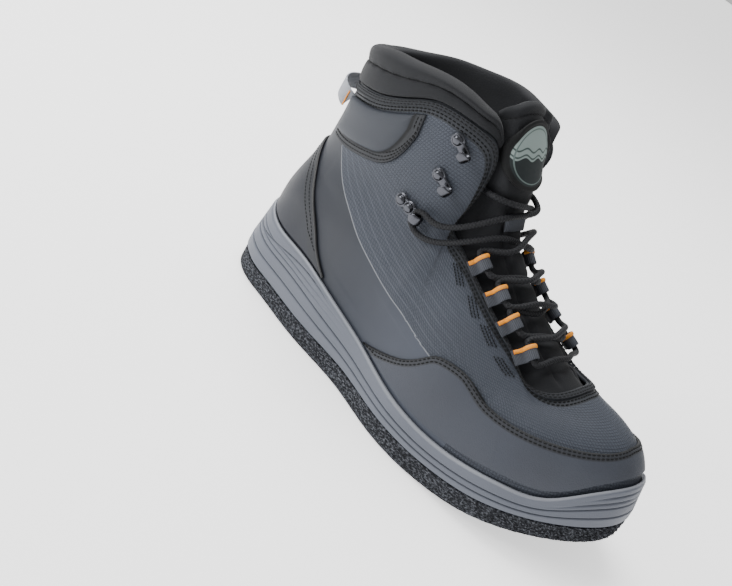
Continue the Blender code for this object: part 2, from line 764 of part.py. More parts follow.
def lace_hooks():
    """Hooks that open away from the throat, riveted to each side of the upper."""
    for side, sign in (("outer", 1), ("inner", -1)):
        for number, row in enumerate(HOOKS, 1):
            frame, rear, seat = hook_seat(sign, *row)
            line = np.concatenate([[(rear, 0)], track(np.array(HOOK_SECTION), np.linspace(0, 1, 9))])
            section = offset_section(line, HOOK_METAL)
            sections = []
            for across in (-HOOK_WIDTH / 2, HOOK_WIDTH / 2):
                sections.append([place(frame, along, across, seat + up) for along, up in section])
            hook = loft(f"hook_{side}_{number}", sections, METAL, mirror=len(section) - 1)
            for k in range(row[4]):
                rivet = dome(frame, -RIVET_BACK - RIVET_PITCH * k, RIVET_RADIUS, seat + HOOK_METAL / 2)
                join = hook.modifiers.new("rivet", "BOOLEAN")
                join.operation = "UNION"
                join.object = rivet


def dome(frame, along, radius, base):
    """Helper: low round rivet head, centred on a seat's line."""
    angle = np.linspace(0, 2 * np.pi, 10)[:-1]
    sections = []
    for share, height in ((1, 0), (0.92, 0.0015), (0.5, 0.0025)):
        points = [
            place(frame, along + radius * share * np.cos(a), radius * share * np.sin(a), base + height)
            for a in angle
        ]
        sections.append(points)
    helper = loft("rivet_helper", sections, METAL, mirror=0)
    helper.hide_render = True
    helper.display_type = "WIRE"
    return helper


def lace_loops():
    """Webbing loops on both sides of the throat. Each is a strap with an eye at its end for the lace."""
    eye = LACE_DIAMETER / 2 + EYE_GAP
    outside = eye + WEB_THICKNESS
    for side, sign in (("outer", 1), ("inner", -1)):
        for number, (turn, level, to_turn, to_level) in enumerate(LACE_LOOPS, 1):
            frame = seat_frame(sign * turn, level, sign * to_turn, to_level)
            centre = (frame[4] + eye, LOOP_SEAT + eye)
            # The outer line leaves the strap's end, runs round the eye and comes back under it
            angle = np.linspace(np.radians(140), np.radians(-140), 9)
            outer = [(centre[0] + outside * np.cos(a), centre[1] + outside * np.sin(a)) for a in angle]
            outer = [(0.0, LOOP_SEAT + 2 * WEB_THICKNESS)] + outer + [(0.0, LOOP_SEAT)]
            sections = []
            inner = [(centre[0] + eye * np.cos(a), centre[1] + eye * np.sin(a)) for a in angle]
            inner = [inner[0]] + inner + [inner[-1]]
            for across, line in ((-1, outer), (1, outer), (1, inner), (-1, inner)):
                points = [place(frame, along, across * LOOP_WIDTH / 2, up) for along, up in line]
                sections.append(points)
            sections = np.transpose(np.array(sections), (1, 0, 2))
            loft(f"lace_loop_{side}_{number}", sections, WEB)


def pull_loop():
    """Webbing handle sewn across the back of the heel."""
    share = np.linspace(0, 1, 13)
    angle = np.pi * share
    centre = surface(1.0, PULL_LOOP_LEVEL, 0.0)
    per_turn = abs(surface(0.9, PULL_LOOP_LEVEL, 0.0)[0]) / 0.1
    turn = 1 - PULL_LOOP_SPAN / 2 * np.cos(angle) / per_turn
    stand_off = 2 * GAP + PULL_LOOP_REACH * np.sin(angle)
    rise = PULL_LOOP_LIFT * np.sin(angle)
    sections = []
    for k in range(len(share)):
        base = surface(turn[k], PULL_LOOP_LEVEL, stand_off[k])
        outwards = normal(turn[k], PULL_LOOP_LEVEL)
        low = np.array([base[0], base[1], centre[2] - PULL_LOOP_WIDTH / 2 + rise[k]])
        high = low + np.array([0, 0, PULL_LOOP_WIDTH])
        sections.append([low, high, high + outwards * WEB_THICKNESS, low + outwards * WEB_THICKNESS])
    loft("pull_loop", sections, WEB, mirror=3)


def lace_route():
    """Points of the lace from its outer end, behind the eyestay, down the loops and up again to its inner end."""
    low = 0.0058
    high = 0.0102
    eye = LACE_DIAMETER / 2 + EYE_GAP

    def through_loop(number, sign, up):
        turn, level, to_turn, to_level = LACE_LOOPS[number - 1]
        frame = seat_frame(sign * turn, level, sign * to_turn, to_level)
        return [place(frame, frame[4] + eye, sign * up * across, LOOP_SEAT + eye) for across in (-0.0068, 0, 0.0068)]

    def round_hook(number, sign, up):
        frame, _, seat = hook_seat(sign, *HOOKS[number - 1])
        loop = ((0.017, -0.0062), (0.0095, -0.0056), (0.0064, -0.0034), (0.0058, 0), (0.0064, 0.0034))
        loop += ((0.0095, 0.0056), (0.017, 0.0062))
        return [place(frame, along, sign * up * across, seat + HOOK_METAL + 0.0028) for along, across in loop]

    route = [surface(0.187, 0.774, -0.0051), surface(0.165, 0.771, -0.0049), surface(0.150, 0.767, -0.0043)]
    route += [surface(0.122, 0.760, 0.0040), surface(0.09, 0.752, 0.0080)]
    route += [surface(0.06, 0.745, high), surface(0.0, 0.735, high), surface(-0.08, 0.722, high - 0.002)]
    route += round_hook(3, -1, -1)
    route += [surface(-0.09, 0.662, high), surface(0.0, 0.645, high), surface(0.08, 0.622, high - 0.002)]
    route += through_loop(1, 1, -1)
    for number in (1, 2, 3):
        sign = 1 if number % 2 else -1
        level = (LACE_LOOPS[number - 1][3] + LACE_LOOPS[number][3]) / 2
        route += [surface(sign * 0.05, level + 0.004, low), surface(-sign * 0.05, level - 0.008, low)]
        route += through_loop(number + 1, -sign, -1)
    route += [surface(-0.05, 0.404, low - 0.001), surface(0.0, 0.400, low), surface(0.05, 0.404, low - 0.001)]
    route += through_loop(4, 1, 1)
    for number in (3, 2, 1):
        sign = -1 if number % 2 else 1
        level = (LACE_LOOPS[number - 1][3] + LACE_LOOPS[number][3]) / 2
        route += [surface(-sign * 0.05, level - 0.006, high), surface(0.0, level, high + 0.0008)]
        route += [surface(sign * 0.05, level + 0.006, high)]
        route += through_loop(number, sign, 1)
    route += [surface(-0.09, 0.622, low + 0.001), surface(0.0, 0.640, low), surface(0.09, 0.655, low + 0.002)]
    route += round_hook(3, 1, 1)
    route += [surface(0.10, 0.702, high - 0.001), surface(0.0, 0.712, high), surface(-0.06, 0.730, high + 0.0022)]
    route += [surface(-0.09, 0.752, 0.0080), surface(-0.122, 0.760, 0.0040), surface(-0.150, 0.767, -0.0043)]
    return route + [surface(-0.165, 0.771, -0.0049), surface(-0.187, 0.774, -0.0051)]


def laces():
    """The lace as one cord along its route."""
    route = np.array(lace_route())
    points = track(route, np.linspace(0, 1, 134))
    curve = bpy.data.curves.new("laces", "CURVE")
    curve.dimensions = "3D"
    curve.bevel_depth = LACE_DIAMETER / 2
    curve.bevel_resolution = 1
    curve.use_fill_caps = True
    spline = curve.splines.new("POLY")
    spline.points.add(len(points) - 1)
    for point, place_at in zip(spline.points, points):
        point.co = (*place_at, 1)
    add("laces", curve, CORD)


felt_outsole()
midsole()
upper()
insole()
rand_and_counter()
ankle_pads()
edge_binding()
cuff()
tongue()
lace_hooks()
lace_loops()
pull_loop()
laces()

# The empty moves the boot so that its origin is the middle of its box on the floor
bpy.context.view_layer.update()
corners = np.array([
    tuple(corner)
    for made in boot.children
    if not made.hide_render
    for corner in made.bound_box
])
middle = (corners.min(axis=0) + corners.max(axis=0)) / 2
boot.location = (-middle[0], -middle[1], 0)
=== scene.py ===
"""Wading boot, right foot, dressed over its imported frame: felt sole, foam midsole, coated fabric upper,
neoprene cuff and tongue, and one round lace in webbing loops and metal hooks.

Metres, +Z up, +Y to the toe, +X to the outer side. Each surface follows one last: ring(turn, level)
gives a point on it, where turn is the share of half a turn round the boot from the toe ridge (0) to
the heel ridge (1), positive on the outer side, and level rises from the feather edge (0) to above the
collar (1). The last's own origin is at the rear of the heel, and ORIGIN moves it to the boot's.
"""
import json

import bpy
import numpy as np
from mathutils import Matrix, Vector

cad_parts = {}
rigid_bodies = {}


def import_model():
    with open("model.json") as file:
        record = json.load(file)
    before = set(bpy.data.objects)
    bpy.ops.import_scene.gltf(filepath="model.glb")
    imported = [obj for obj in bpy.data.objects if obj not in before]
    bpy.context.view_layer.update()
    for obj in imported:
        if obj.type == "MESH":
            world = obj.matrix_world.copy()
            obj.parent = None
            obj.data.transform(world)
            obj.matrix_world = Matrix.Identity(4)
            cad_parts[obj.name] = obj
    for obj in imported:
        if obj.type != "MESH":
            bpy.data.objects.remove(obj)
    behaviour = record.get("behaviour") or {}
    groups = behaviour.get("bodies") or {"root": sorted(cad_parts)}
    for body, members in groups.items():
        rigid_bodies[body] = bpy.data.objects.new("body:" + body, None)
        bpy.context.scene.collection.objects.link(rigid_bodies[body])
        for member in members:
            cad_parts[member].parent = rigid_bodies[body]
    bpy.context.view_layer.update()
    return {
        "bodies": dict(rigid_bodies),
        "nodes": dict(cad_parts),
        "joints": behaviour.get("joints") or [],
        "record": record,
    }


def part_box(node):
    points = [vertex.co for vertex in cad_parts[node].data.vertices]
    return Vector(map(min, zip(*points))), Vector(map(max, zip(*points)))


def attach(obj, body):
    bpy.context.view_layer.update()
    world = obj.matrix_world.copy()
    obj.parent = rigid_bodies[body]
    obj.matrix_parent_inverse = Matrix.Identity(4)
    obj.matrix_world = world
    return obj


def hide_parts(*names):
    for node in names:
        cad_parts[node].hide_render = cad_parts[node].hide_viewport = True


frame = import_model()

# Upper: one wall of coated ripstop, shaped on a last, with a smooth film panel fused over the heel side
# of the quarter. It is lasted under the footbed, and its lip is folded over the throat and the collar.

# Sizes of the last and the sole, in metres
SOLE_LENGTH = 0.322
BALL_WIDTH = 0.122
UPPER_HEIGHT = 0.184
HEEL_STACK = 0.052
TOE_SPRING = 0.029
LEDGE = 0.005
# Thickness of the wall
WALL = 0.0024
# Outline of the sole: share of length from the heel; outer and inner half width, axis, shares of ball width
PLAN = np.array([
    (0.00, 0.340, 0.330, 0.000),
    (0.12, 0.350, 0.345, 0.000),
    (0.28, 0.410, 0.335, 0.005),
    (0.42, 0.425, 0.325, 0.010),
    (0.56, 0.500, 0.390, 0.010),
    (0.68, 0.505, 0.480, 0.000),
    (0.80, 0.480, 0.500, -0.020),
    (0.90, 0.430, 0.460, -0.045),
    (1.00, 0.380, 0.400, -0.070),
])
# End rounding of the outline: share of length that it takes, power of its curve
TOE_ROUND = (0.24, 2.3)
HEEL_ROUND = (0.13, 2.2)
FLAT_END = 0.62
# Side of the sole: share of length; deck under the foot and top of the rim, shares of heel stack
SOLE_SIDE = np.array([
    (0.00, 0.59, 1.00),
    (0.07, 0.59, 0.90),
    (0.22, 0.57, 0.88),
    (0.34, 0.53, 0.76),
    (0.47, 0.48, 0.61),
    (0.59, 0.44, 0.54),
    (0.72, 0.43, 0.53),
    (0.82, 0.43, 0.54),
    (0.90, 0.43, 0.57),
    (0.95, 0.43, 0.76),
    (1.00, 0.43, 0.87),
])
# Front ridge of the last: share of length, share of upper height above the deck
FRONT = np.array([
    (0.984, 0.000),
    (0.983, 0.050),
    (0.977, 0.110),
    (0.958, 0.170),
    (0.907, 0.260),
    (0.832, 0.322),
    (0.745, 0.374),
    (0.658, 0.442),
    (0.578, 0.518),
    (0.510, 0.592),
    (0.470, 0.676),
    (0.448, 0.770),
    (0.437, 0.855),
    (0.428, 0.947),
    (0.420, 1.027),
])
# Heel ridge of the last: the same columns
BACK = np.array([
    (0.022, 0.000),
    (0.016, 0.122),
    (0.020, 0.241),
    (0.030, 0.366),
    (0.036, 0.507),
    (0.044, 0.659),
    (0.044, 0.822),
    (0.038, 1.000),
])
# Shaft: share of upper height; outer and inner half width, shares of ball width
SHAFT = np.array([
    (0.032, 0.310, 0.300),
    (0.230, 0.305, 0.295),
    (0.369, 0.290, 0.285),
    (0.527, 0.300, 0.295),
    (0.676, 0.335, 0.330),
    (0.825, 0.365, 0.365),
    (1.000, 0.380, 0.380),
])
SHAFT_POWER = 2.2
# Where the foot's arch gives way to the shaft, shares of upper height: base, climb along the length, depth
BLEND = (0.170, 0.298, 0.248)
# Arch over the foot: share of length, power across, power upwards
ARCH = np.array([
    (0.00, 2.6, 2.4),
    (0.40, 2.2, 2.0),
    (0.65, 2.2, 1.9),
    (0.85, 2.3, 2.2),
    (1.00, 2.4, 2.4),
])
# Edge of the upper, from the closed end of the throat to the heel: turn, level, and the turn at the
# feather edge from which the wall rises to it
TOP_EDGE = np.array([
    (0.000, 0.345, 0.00),
    (0.070, 0.340, 0.07),
    (0.130, 0.335, 0.13),
    (0.162, 0.346, 0.18),
    (0.165, 0.372, 0.22),
    (0.148, 0.410, 0.25),
    (0.142, 0.455, 0.28),
    (0.158, 0.515, 0.32),
    (0.183, 0.573, 0.36),
    (0.210, 0.628, 0.40),
    (0.236, 0.665, 0.44),
    (0.215, 0.700, 0.47),
    (0.181, 0.735, 0.49),
    (0.150, 0.790, 0.52),
    (0.143, 0.835, 0.54),
    (0.158, 0.872, 0.56),
    (0.192, 0.895, 0.58),
    (0.245, 0.911, 0.60),
    (0.328, 0.924, 0.63),
    (0.420, 0.924, 0.67),
    (0.511, 0.903, 0.71),
    (0.622, 0.876, 0.76),
    (0.720, 0.862, 0.82),
    (0.869, 0.846, 0.91),
    (1.000, 0.840, 1.00),
])
EDGE_SWEEP = 2.2


def cubic(xs, ys, x):
    """Natural cubic spline through (xs, ys), at x."""
    count = len(xs)
    step = np.diff(xs)
    matrix = np.eye(count)
    bend = np.zeros(count)
    for i in range(1, count - 1):
        matrix[i, i - 1 : i + 2] = step[i - 1], 2 * (step[i - 1] + step[i]), step[i]
        bend[i] = 6 * ((ys[i + 1] - ys[i]) / step[i] - (ys[i] - ys[i - 1]) / step[i - 1])
    moment = np.linalg.solve(matrix, bend)
    x = np.clip(x, xs[0], xs[-1])
    i = np.clip(np.searchsorted(xs, x) - 1, 0, count - 2)
    after, before = x - xs[i], xs[i + 1] - x
    left = ys[i] / step[i] - moment[i] * step[i] / 6
    right = ys[i + 1] / step[i] - moment[i + 1] * step[i] / 6
    return (
        (moment[i] * before**3 + moment[i + 1] * after**3) / (6 * step[i])
        + left * before
        + right * after
    )


def track(points, share):
    """Smooth curve through the rows of points, by share of its chord length."""
    step = np.linalg.norm(np.diff(points, axis=0), axis=1)
    place = np.concatenate([[0], np.cumsum(step)]) / step.sum()
    return np.stack([cubic(place, column, share) for column in points.T], -1)


def smooth(x):
    """Smooth step from 0 to 1: 3 x**2 - 2 x**3."""
    x = np.clip(x, 0, 1)
    return x * x * (3 - 2 * x)


def bell(away, width):
    """Bell of height 1: exp(-(away / width) ** 2)."""
    return np.exp(-((away / width) ** 2))


def signed(turn):
    """Turn between -1 and 1 of one that runs on past the heel ridge."""
    return np.where(turn > 1, turn - 2, turn)


def rocker(y):
    """Height of the sole's underside: flat up to FLAT_END, then the square of the rest of the length."""
    return TOE_SPRING * np.clip((y / SOLE_LENGTH - FLAT_END) / (1 - FLAT_END), 0, 1) ** 2


def deck(y):
    """Height of the footbed inside the midsole: the underside plus a share of the heel stack."""
    return rocker(y) + HEEL_STACK * cubic(SOLE_SIDE[:, 0], SOLE_SIDE[:, 1], y / SOLE_LENGTH)


def axis(y):
    """Sideways place of the boot's axis: a spline through PLAN, which curves inwards at the toe."""
    return BALL_WIDTH * cubic(PLAN[:, 0], PLAN[:, 3], y / SOLE_LENGTH)


def plan(y, side, inset):
    """Half width of the sole's outline, drawn in by inset.

    It is a spline through PLAN, rounded at the toe and at the heel by (1 - x**p) ** (1 / p), where x
    goes from 0 to 1 over that end.
    """
    share = (y - inset) / (SOLE_LENGTH - 2 * inset)
    toe = np.clip((share - 1 + TOE_ROUND[0]) / TOE_ROUND[0], 0, 1)
    heel = np.clip((HEEL_ROUND[0] - share) / HEEL_ROUND[0], 0, 1)
    toe_rounding = (1 - toe ** TOE_ROUND[1]) ** (1 / TOE_ROUND[1])
    heel_rounding = (1 - heel ** HEEL_ROUND[1]) ** (1 / HEEL_ROUND[1])
    half = np.where(side > 0, cubic(PLAN[:, 0], PLAN[:, 1], share), cubic(PLAN[:, 0], PLAN[:, 2], share))
    return (half * BALL_WIDTH - inset) * (toe_rounding * heel_rounding)


def outline(turn, inset):
    """Point of the sole's outline: y goes by (1 + cos(pi turn)) / 2, and x is axis plus or minus plan."""
    along = (1 + np.cos(np.pi * turn)) / 2
    side = np.where(turn >= 0, 1.0, -1.0)
    y = inset + (SOLE_LENGTH - 2 * inset) * along
    return np.stack([axis(y) + side * plan(y, side, inset), y], -1)


def ridge(table):
    """Side view of a ridge of the last in metres, at 400 steps of its length."""
    line = track(table, STEPS)
    y = SOLE_LENGTH * line[:, 0]
    return np.stack([y, deck(y) + UPPER_HEIGHT * line[:, 1]], -1)


STEPS = np.linspace(0, 1, 400)
FRONT_LINE = ridge(FRONT)
BACK_LINE = ridge(BACK)


def half_width(y, z, side):
    """Half width of the last at a point of its side view.

    Over the foot it is an arch, plan (1 - lift**p) ** (1 / q), and in the shaft an oval,
    column (1 - along**r) ** (1 / r); a smooth step joins them.
    """
    top = np.interp(-y, -FRONT_LINE[:, 0], FRONT_LINE[:, 1])
    back = np.interp(z, BACK_LINE[:, 1], BACK_LINE[:, 0])
    front = np.interp(z, FRONT_LINE[:, 1], FRONT_LINE[:, 0])
    across = cubic(ARCH[:, 0], ARCH[:, 1], y / SOLE_LENGTH)
    upwards = cubic(ARCH[:, 0], ARCH[:, 2], y / SOLE_LENGTH)
    lift = np.clip((z - deck(y)) / np.maximum(top - deck(y), 1e-6), 0, 1)
    lean = (back - LEDGE) * np.clip(1 - 2 * (y - back) / SOLE_LENGTH, 0, 1)
    foot = plan(y - lean, side, LEDGE) * (1 - lift**upwards) ** (1 / across)
    share = (z - BACK_LINE[0, 1]) / UPPER_HEIGHT
    column = np.where(
        side > 0, cubic(SHAFT[:, 0], SHAFT[:, 1], share), cubic(SHAFT[:, 0], SHAFT[:, 2], share)
    )
    along = np.clip(np.abs((2 * y - front - back) / (front - back)), 0, 1)
    shaft = BALL_WIDTH * column * (1 - along**SHAFT_POWER) ** (1 / SHAFT_POWER)
    blend = smooth((share - BLEND[0] - BLEND[1] * y / SOLE_LENGTH) / BLEND[2])
    return foot * (1 - blend) + shaft * blend


def ring(turn, level):
    """Point of the last.

    Its y and z go from the heel ridge to the toe ridge by (1 + cos(pi turn)) / 2, and its x is the
    axis plus or minus half_width there.
    """
    turn, level = np.broadcast_arrays(np.asarray(turn, float), np.asarray(level, float))
    along = (1 + np.cos(np.pi * turn)) / 2
    side = np.where(np.sin(np.pi * turn) >= 0, 1.0, -1.0)
    rise = 0.25 * level + 0.75 * level**3
    front_y, front_z = (np.interp(level, STEPS, column) for column in FRONT_LINE.T)
    back_y, back_z = (np.interp(rise, STEPS, column) for column in BACK_LINE.T)
    y = back_y + along * (front_y - back_y)
    z = back_z + along**2.5 * (front_z - back_z)
    foot_y = BACK_LINE[0, 0] + along * (FRONT_LINE[0, 0] - BACK_LINE[0, 0])
    foot_z = BACK_LINE[0, 1] + along**2.5 * (FRONT_LINE[0, 1] - BACK_LINE[0, 1])
    z = z + (1 - level) ** 4 * (deck(foot_y) - foot_z)
    return np.stack([axis(y) + side * half_width(y, z, side), y, z], -1)


def normal(turn, level):
    """Outward normal of the last: cross product of its directions up and round, over small steps."""
    step = 0.004
    up = ring(turn, np.clip(level + step, 0, 1)) - ring(turn, np.clip(level - step, 0, 1))
    round_boot = ring(turn + step, level) - ring(turn - step, level)
    cross = np.cross(up, round_boot)
    return cross / np.linalg.norm(cross, axis=-1, keepdims=True)


# How far the throat's inner wing stands open at its top, in metres
WING_OPENING = 0.0085
# Creases of both sides of the wall: turn and level of both ends, half width and height in metres
CREASES = [
    (0.06, 0.285, 0.27, 0.320, 0.0060, -0.0007),
    (0.22, 0.470, 0.40, 0.440, 0.0070, -0.0006),
    (0.25, 0.560, 0.44, 0.520, 0.0080, -0.0006),
    (0.30, 0.640, 0.55, 0.665, 0.0090, -0.0008),
    (0.50, 0.600, 0.72, 0.640, 0.0070, 0.0005),
    (0.45, 0.380, 0.58, 0.300, 0.0110, -0.0006),
    (0.90, 0.720, 1.00, 0.735, 0.0060, -0.0006),
    (0.10, 0.110, 0.30, 0.130, 0.0090, -0.0004),
]
# Metres that a full step of turn and of level is taken as, for the width of a crease
SPREAD = np.array([0.20, 0.19])


def relief(turn, level):
    """Height of the creases: each is a bell across its line, fading to its ends."""
    spot = np.stack([turn, level], -1) * SPREAD
    total = np.zeros(np.shape(turn))
    for first_turn, first_level, last_turn, last_level, width, height in CREASES:
        for sign in (1, -1):
            start = np.array([sign * first_turn, first_level]) * SPREAD
            reach = np.array([sign * last_turn, last_level]) * SPREAD - start
            share = np.clip((spot - start) @ reach / (reach @ reach), 0, 1)
            away = np.linalg.norm(spot - start - share[..., None] * reach, axis=-1)
            total += height * bell(away, width) * np.sqrt(np.clip(4 * share * (1 - share), 0, 1))
    # The throat's inner wing stands open at the top, away from the tongue
    wing = smooth((-turn - 0.09) / 0.06) * smooth((0.36 + turn) / 0.16) * smooth((level - 0.76) / 0.12)
    return total + WING_OPENING * wing


def surface(turn, level, height):
    """Point at a height above the last: ring + normal (height + relief)."""
    turn, level = np.broadcast_arrays(np.asarray(turn, float), np.asarray(level, float))
    lift = np.asarray(height, float) + relief(turn, level)
    return ring(turn, level) + normal(turn, level) * lift[..., None]


SOLE_LINE = outline(np.linspace(-1, 1, 2001), 0)
ORIGIN = np.array([*(np.array(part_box("felt_outsole")[0])[:2] - SOLE_LINE.min(axis=0)), 0])


def skin(name, points, look, nodes=(), uv=None, marks=None, mirror=None):
    """Closed mesh over loops of points, (loops, points, 3), or many, (pieces, loops, points, 3).

    Each loop joins its next. The end loops are capped by strips from point k to point mirror - k, or
    join each other where mirror is None. uv has one loop and one point more than the points, because
    both wrap, and marks are named values for each point. The faces turn outwards: a solid's volume,
    the sum of its faces' triple products, is positive.
    """
    pieces = points.reshape(-1, *points.shape[-3:])
    amount, loops, around = pieces.shape[:3]
    strips = loops if mirror is None else loops - 1
    row, column = np.meshgrid(np.arange(strips), np.arange(around), indexing="ij")
    rows = np.stack([row, row, row + 1, row + 1], -1).reshape(-1, 4)
    columns = np.stack([column, column + 1, column + 1, column], -1).reshape(-1, 4)
    quads = rows * (around + 1) + columns
    corners = [quads]
    if mirror is not None:
        k = np.arange(around // 2)
        strip = np.stack([k, k + 1, (mirror - k - 1) % around, (mirror - k) % around], -1)
        whole = strip[(strip[:, 0] != strip[:, 3]) & (strip[:, 1] != strip[:, 2])]
        first = strip[(strip[:, 0] == strip[:, 3])][:, [0, 1, 2]]
        last = strip[(strip[:, 1] == strip[:, 2]) & (strip[:, 0] != strip[:, 3])][:, [0, 1, 3]]
        top = (loops - 1) * (around + 1)
        corners = [np.concatenate([quads, whole[:, ::-1], whole + top])]
        corners += [np.concatenate([first[:, ::-1], first + top, last[:, ::-1], last + top])]
    index = (np.arange(loops + 1) % loops)[:, None] * around + np.arange(around + 1) % around
    flat = pieces[0].reshape(-1, 3)
    volume = 0
    for group in corners:
        spots = flat[index.ravel()[group]]
        for k in range(2, group.shape[1]):
            volume += (spots[:, 0] * np.cross(spots[:, k - 1], spots[:, k])).sum()
    if volume < 0:
        corners = [group[:, ::-1] for group in corners]
    shift = (np.arange(amount) * loops * around)[:, None, None]
    faces = [(index.ravel()[group] + shift).reshape(-1, group.shape[1]) for group in corners]
    mesh = bpy.data.meshes.new(name)
    everything = (pieces + ORIGIN).reshape(-1, 3)
    mesh.from_pydata(everything.tolist(), [], [face for group in faces for face in group.tolist()])
    if uv is not None:
        flat_uv = uv.reshape(-1, 2)
        corner_uv = np.concatenate(
            [np.tile(flat_uv[group].reshape(-1, 2), (amount, 1)) for group in corners]
        )
        mesh.uv_layers.new(name="cloth").data.foreach_set("uv", corner_uv.astype(np.float32).ravel())
    for mark, values in (marks or {}).items():
        layer = mesh.attributes.new(mark, "FLOAT", "POINT")
        layer.data.foreach_set("value", np.tile(values.astype(np.float32).ravel(), amount))
    mesh.shade_smooth()
    mesh.set_sharp_from_angle(angle=np.radians(50))
    mesh.materials.append(look)
    made = bpy.data.objects.new(name, mesh)
    bpy.context.collection.objects.link(made)
    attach(made, "root")
    if nodes:
        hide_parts(*nodes)
    return made


def measure(points, middle):
    """Length along each loop from its middle point, and length up each column, of loops that close."""
    wrapped = np.concatenate([points, points[:, :1]], axis=1)
    wrapped = np.concatenate([wrapped, wrapped[:1]], axis=0)
    along = np.cumsum(np.linalg.norm(np.diff(wrapped, axis=1, prepend=wrapped[:, :1]), axis=-1), axis=1)
    upwards = np.cumsum(np.linalg.norm(np.diff(wrapped, axis=0, prepend=wrapped[:1]), axis=-1), axis=0)
    return np.stack([along - along[:, middle : middle + 1], upwards], -1)


def distance_to(points, line):
    """Distance to a line of many points: across the nearest one's direction, and past the line's ends."""
    flat = points.reshape(-1, 3)
    nearest = np.argmin((line**2).sum(axis=1) - 2 * flat @ line.T, axis=1)
    step = np.gradient(line, axis=0)
    length = np.linalg.norm(step, axis=1, keepdims=True)
    away = flat - line[nearest]
    along = (away * (step / length)[nearest]).sum(axis=1)
    across = np.sqrt(np.maximum((away**2).sum(axis=1) - along**2, 0))
    past = np.maximum(np.abs(along) - length[nearest, 0], 0)
    return np.hypot(across, past).reshape(points.shape[:-1])


def linear(colour):
    """Linear colour from an sRGB hex value: ((c + 0.055) / 1.055) ** 2.4, or c / 12.92 where dark."""
    share = np.array([int(colour[k : k + 2], 16) for k in (1, 3, 5)]) / 255
    return (*np.where(share < 0.04045, share / 12.92, ((share + 0.055) / 1.055) ** 2.4), 1.0)


def add_node(tree, kind, inputs, **fields):
    """Node of a kind with its fields set and each input given a value or linked to a socket."""
    made = tree.nodes.new(kind)
    for field, value in fields.items():
        setattr(made, field, value)
    for socket, value in inputs.items():
        if isinstance(value, bpy.types.NodeSocket):
            tree.links.new(value, made.inputs[socket])
        else:
            made.inputs[socket].default_value = value
    return made


def mix(tree, share, first, second):
    """Colour between two, each a socket or an sRGB hex value."""
    first, second = (linear(colour) if isinstance(colour, str) else colour for colour in (first, second))
    return add_node(tree, "ShaderNodeMix", {0: share, 6: first, 7: second}, data_type="RGBA").outputs[2]


def ramp(tree, value, low, high, first=0.0, last=1.0):
    """Value carried from the range low to high over to first to last, and held at both ends."""
    sockets = {"Value": value, "From Min": low, "From Max": high, "To Min": first, "To Max": last}
    return add_node(tree, "ShaderNodeMapRange", sockets).outputs[0]


def maths(tree, operation, *values):
    """Result of one sum on sockets or numbers."""
    return add_node(tree, "ShaderNodeMath", dict(enumerate(values)), operation=operation).outputs[0]


def noise(tree, spot, scale, detail=2.0):
    """Fractal noise at a spot, about 0.5 in the middle."""
    made = add_node(tree, "ShaderNodeTexNoise", {"Vector": spot, "Scale": scale, "Detail": detail})
    return made.outputs["Fac"]


def mark(tree, name):
    """Values that skin stored under a name."""
    return add_node(tree, "ShaderNodeAttribute", {}, attribute_name=name).outputs["Fac"]


def new_finish(name, **sockets):
    """Material, its tree and its shader, with values set on the shader's sockets, underscores for spaces."""
    made = bpy.data.materials.new(name)
    made.use_nodes = True
    shader = made.node_tree.nodes["Principled BSDF"]
    for socket, value in sockets.items():
        shader.inputs[socket.replace("_", " ")].default_value = value
    return made, made.node_tree, shader


def give(tree, shader, colour=None, roughness=None, height=None, depth=0.0002):
    """Links a colour, a roughness and a bump of a depth in metres to the shader."""
    if colour is not None:
        tree.links.new(colour, shader.inputs["Base Color"])
    if roughness is not None:
        tree.links.new(roughness, shader.inputs["Roughness"])
    if height is not None:
        bump = add_node(tree, "ShaderNodeBump", {"Strength": 1.0, "Distance": depth, "Height": height})
        tree.links.new(bump.outputs["Normal"], shader.inputs["Normal"])


# Line between the film panel and the ripstop, from the midfoot to the ankle: turn, level
FILM_LINE = np.array([
    (0.370, 0.325),
    (0.419, 0.415),
    (0.444, 0.443),
    (0.467, 0.475),
    (0.492, 0.512),
    (0.531, 0.557),
    (0.572, 0.598),
    (0.611, 0.628),
    (0.660, 0.665),
    (0.720, 0.715),
])
SIDE_COLUMNS = 180
WALL_ROWS = 104
LINING_ROWS = 30
side_edge = track(TOP_EDGE, np.linspace(0, 1, SIDE_COLUMNS + 1))
# Edge and foot of the wall from the heel ridge over the inner side to the toe ridge and back outside
EDGE = np.concatenate([side_edge[::-1] * (-1, 1, -1), side_edge[1:-1]])


def wall_column(share):
    """Turns and levels of the wall at shares of the way up: level by share, turn by share**EDGE_SWEEP."""
    share = np.asarray(share, float)
    turn = EDGE[:, 2] + (EDGE[:, 0] - EDGE[:, 2]) * np.minimum(share, 1) ** EDGE_SWEEP
    return turn, EDGE[:, 1] * share


edge_run = ring(*wall_column(1.0)) - ring(*wall_column(0.9))
EDGE_REACH = np.linalg.norm(edge_run, axis=1) / 0.1
lip = np.linspace(0, np.pi, 8)[1:-1, None]
wall_share = np.concatenate([
    np.ones(len(EDGE)) * np.linspace(0, 1, WALL_ROWS)[:, None],
    1 + WALL / 2 * np.sin(lip) / EDGE_REACH,
    np.ones(len(EDGE)) * np.linspace(1, 0, LINING_ROWS)[:, None],
])
lip_height = WALL / 2 * (np.cos(lip[:, 0]) - 1)
wall_height = np.concatenate([np.zeros(WALL_ROWS), lip_height, np.full(LINING_ROWS, -WALL)])
wall_turn, wall_level = wall_column(wall_share)
wall = surface(wall_turn, wall_level, wall_height[:, None])
film_sides = []
for sign in (1, -1):
    film_track = track(FILM_LINE, np.linspace(0, 1, 400))
    film_sides.append(distance_to(wall, surface(sign * film_track[:, 0], film_track[:, 1], 0.0)))
film_level = np.interp(np.abs(wall_turn), FILM_LINE[:, 0], FILM_LINE[:, 1], left=0, right=1)
film_side = np.where(wall_level < film_level, 1, -1) * np.where(wall_turn > 0, *film_sides)
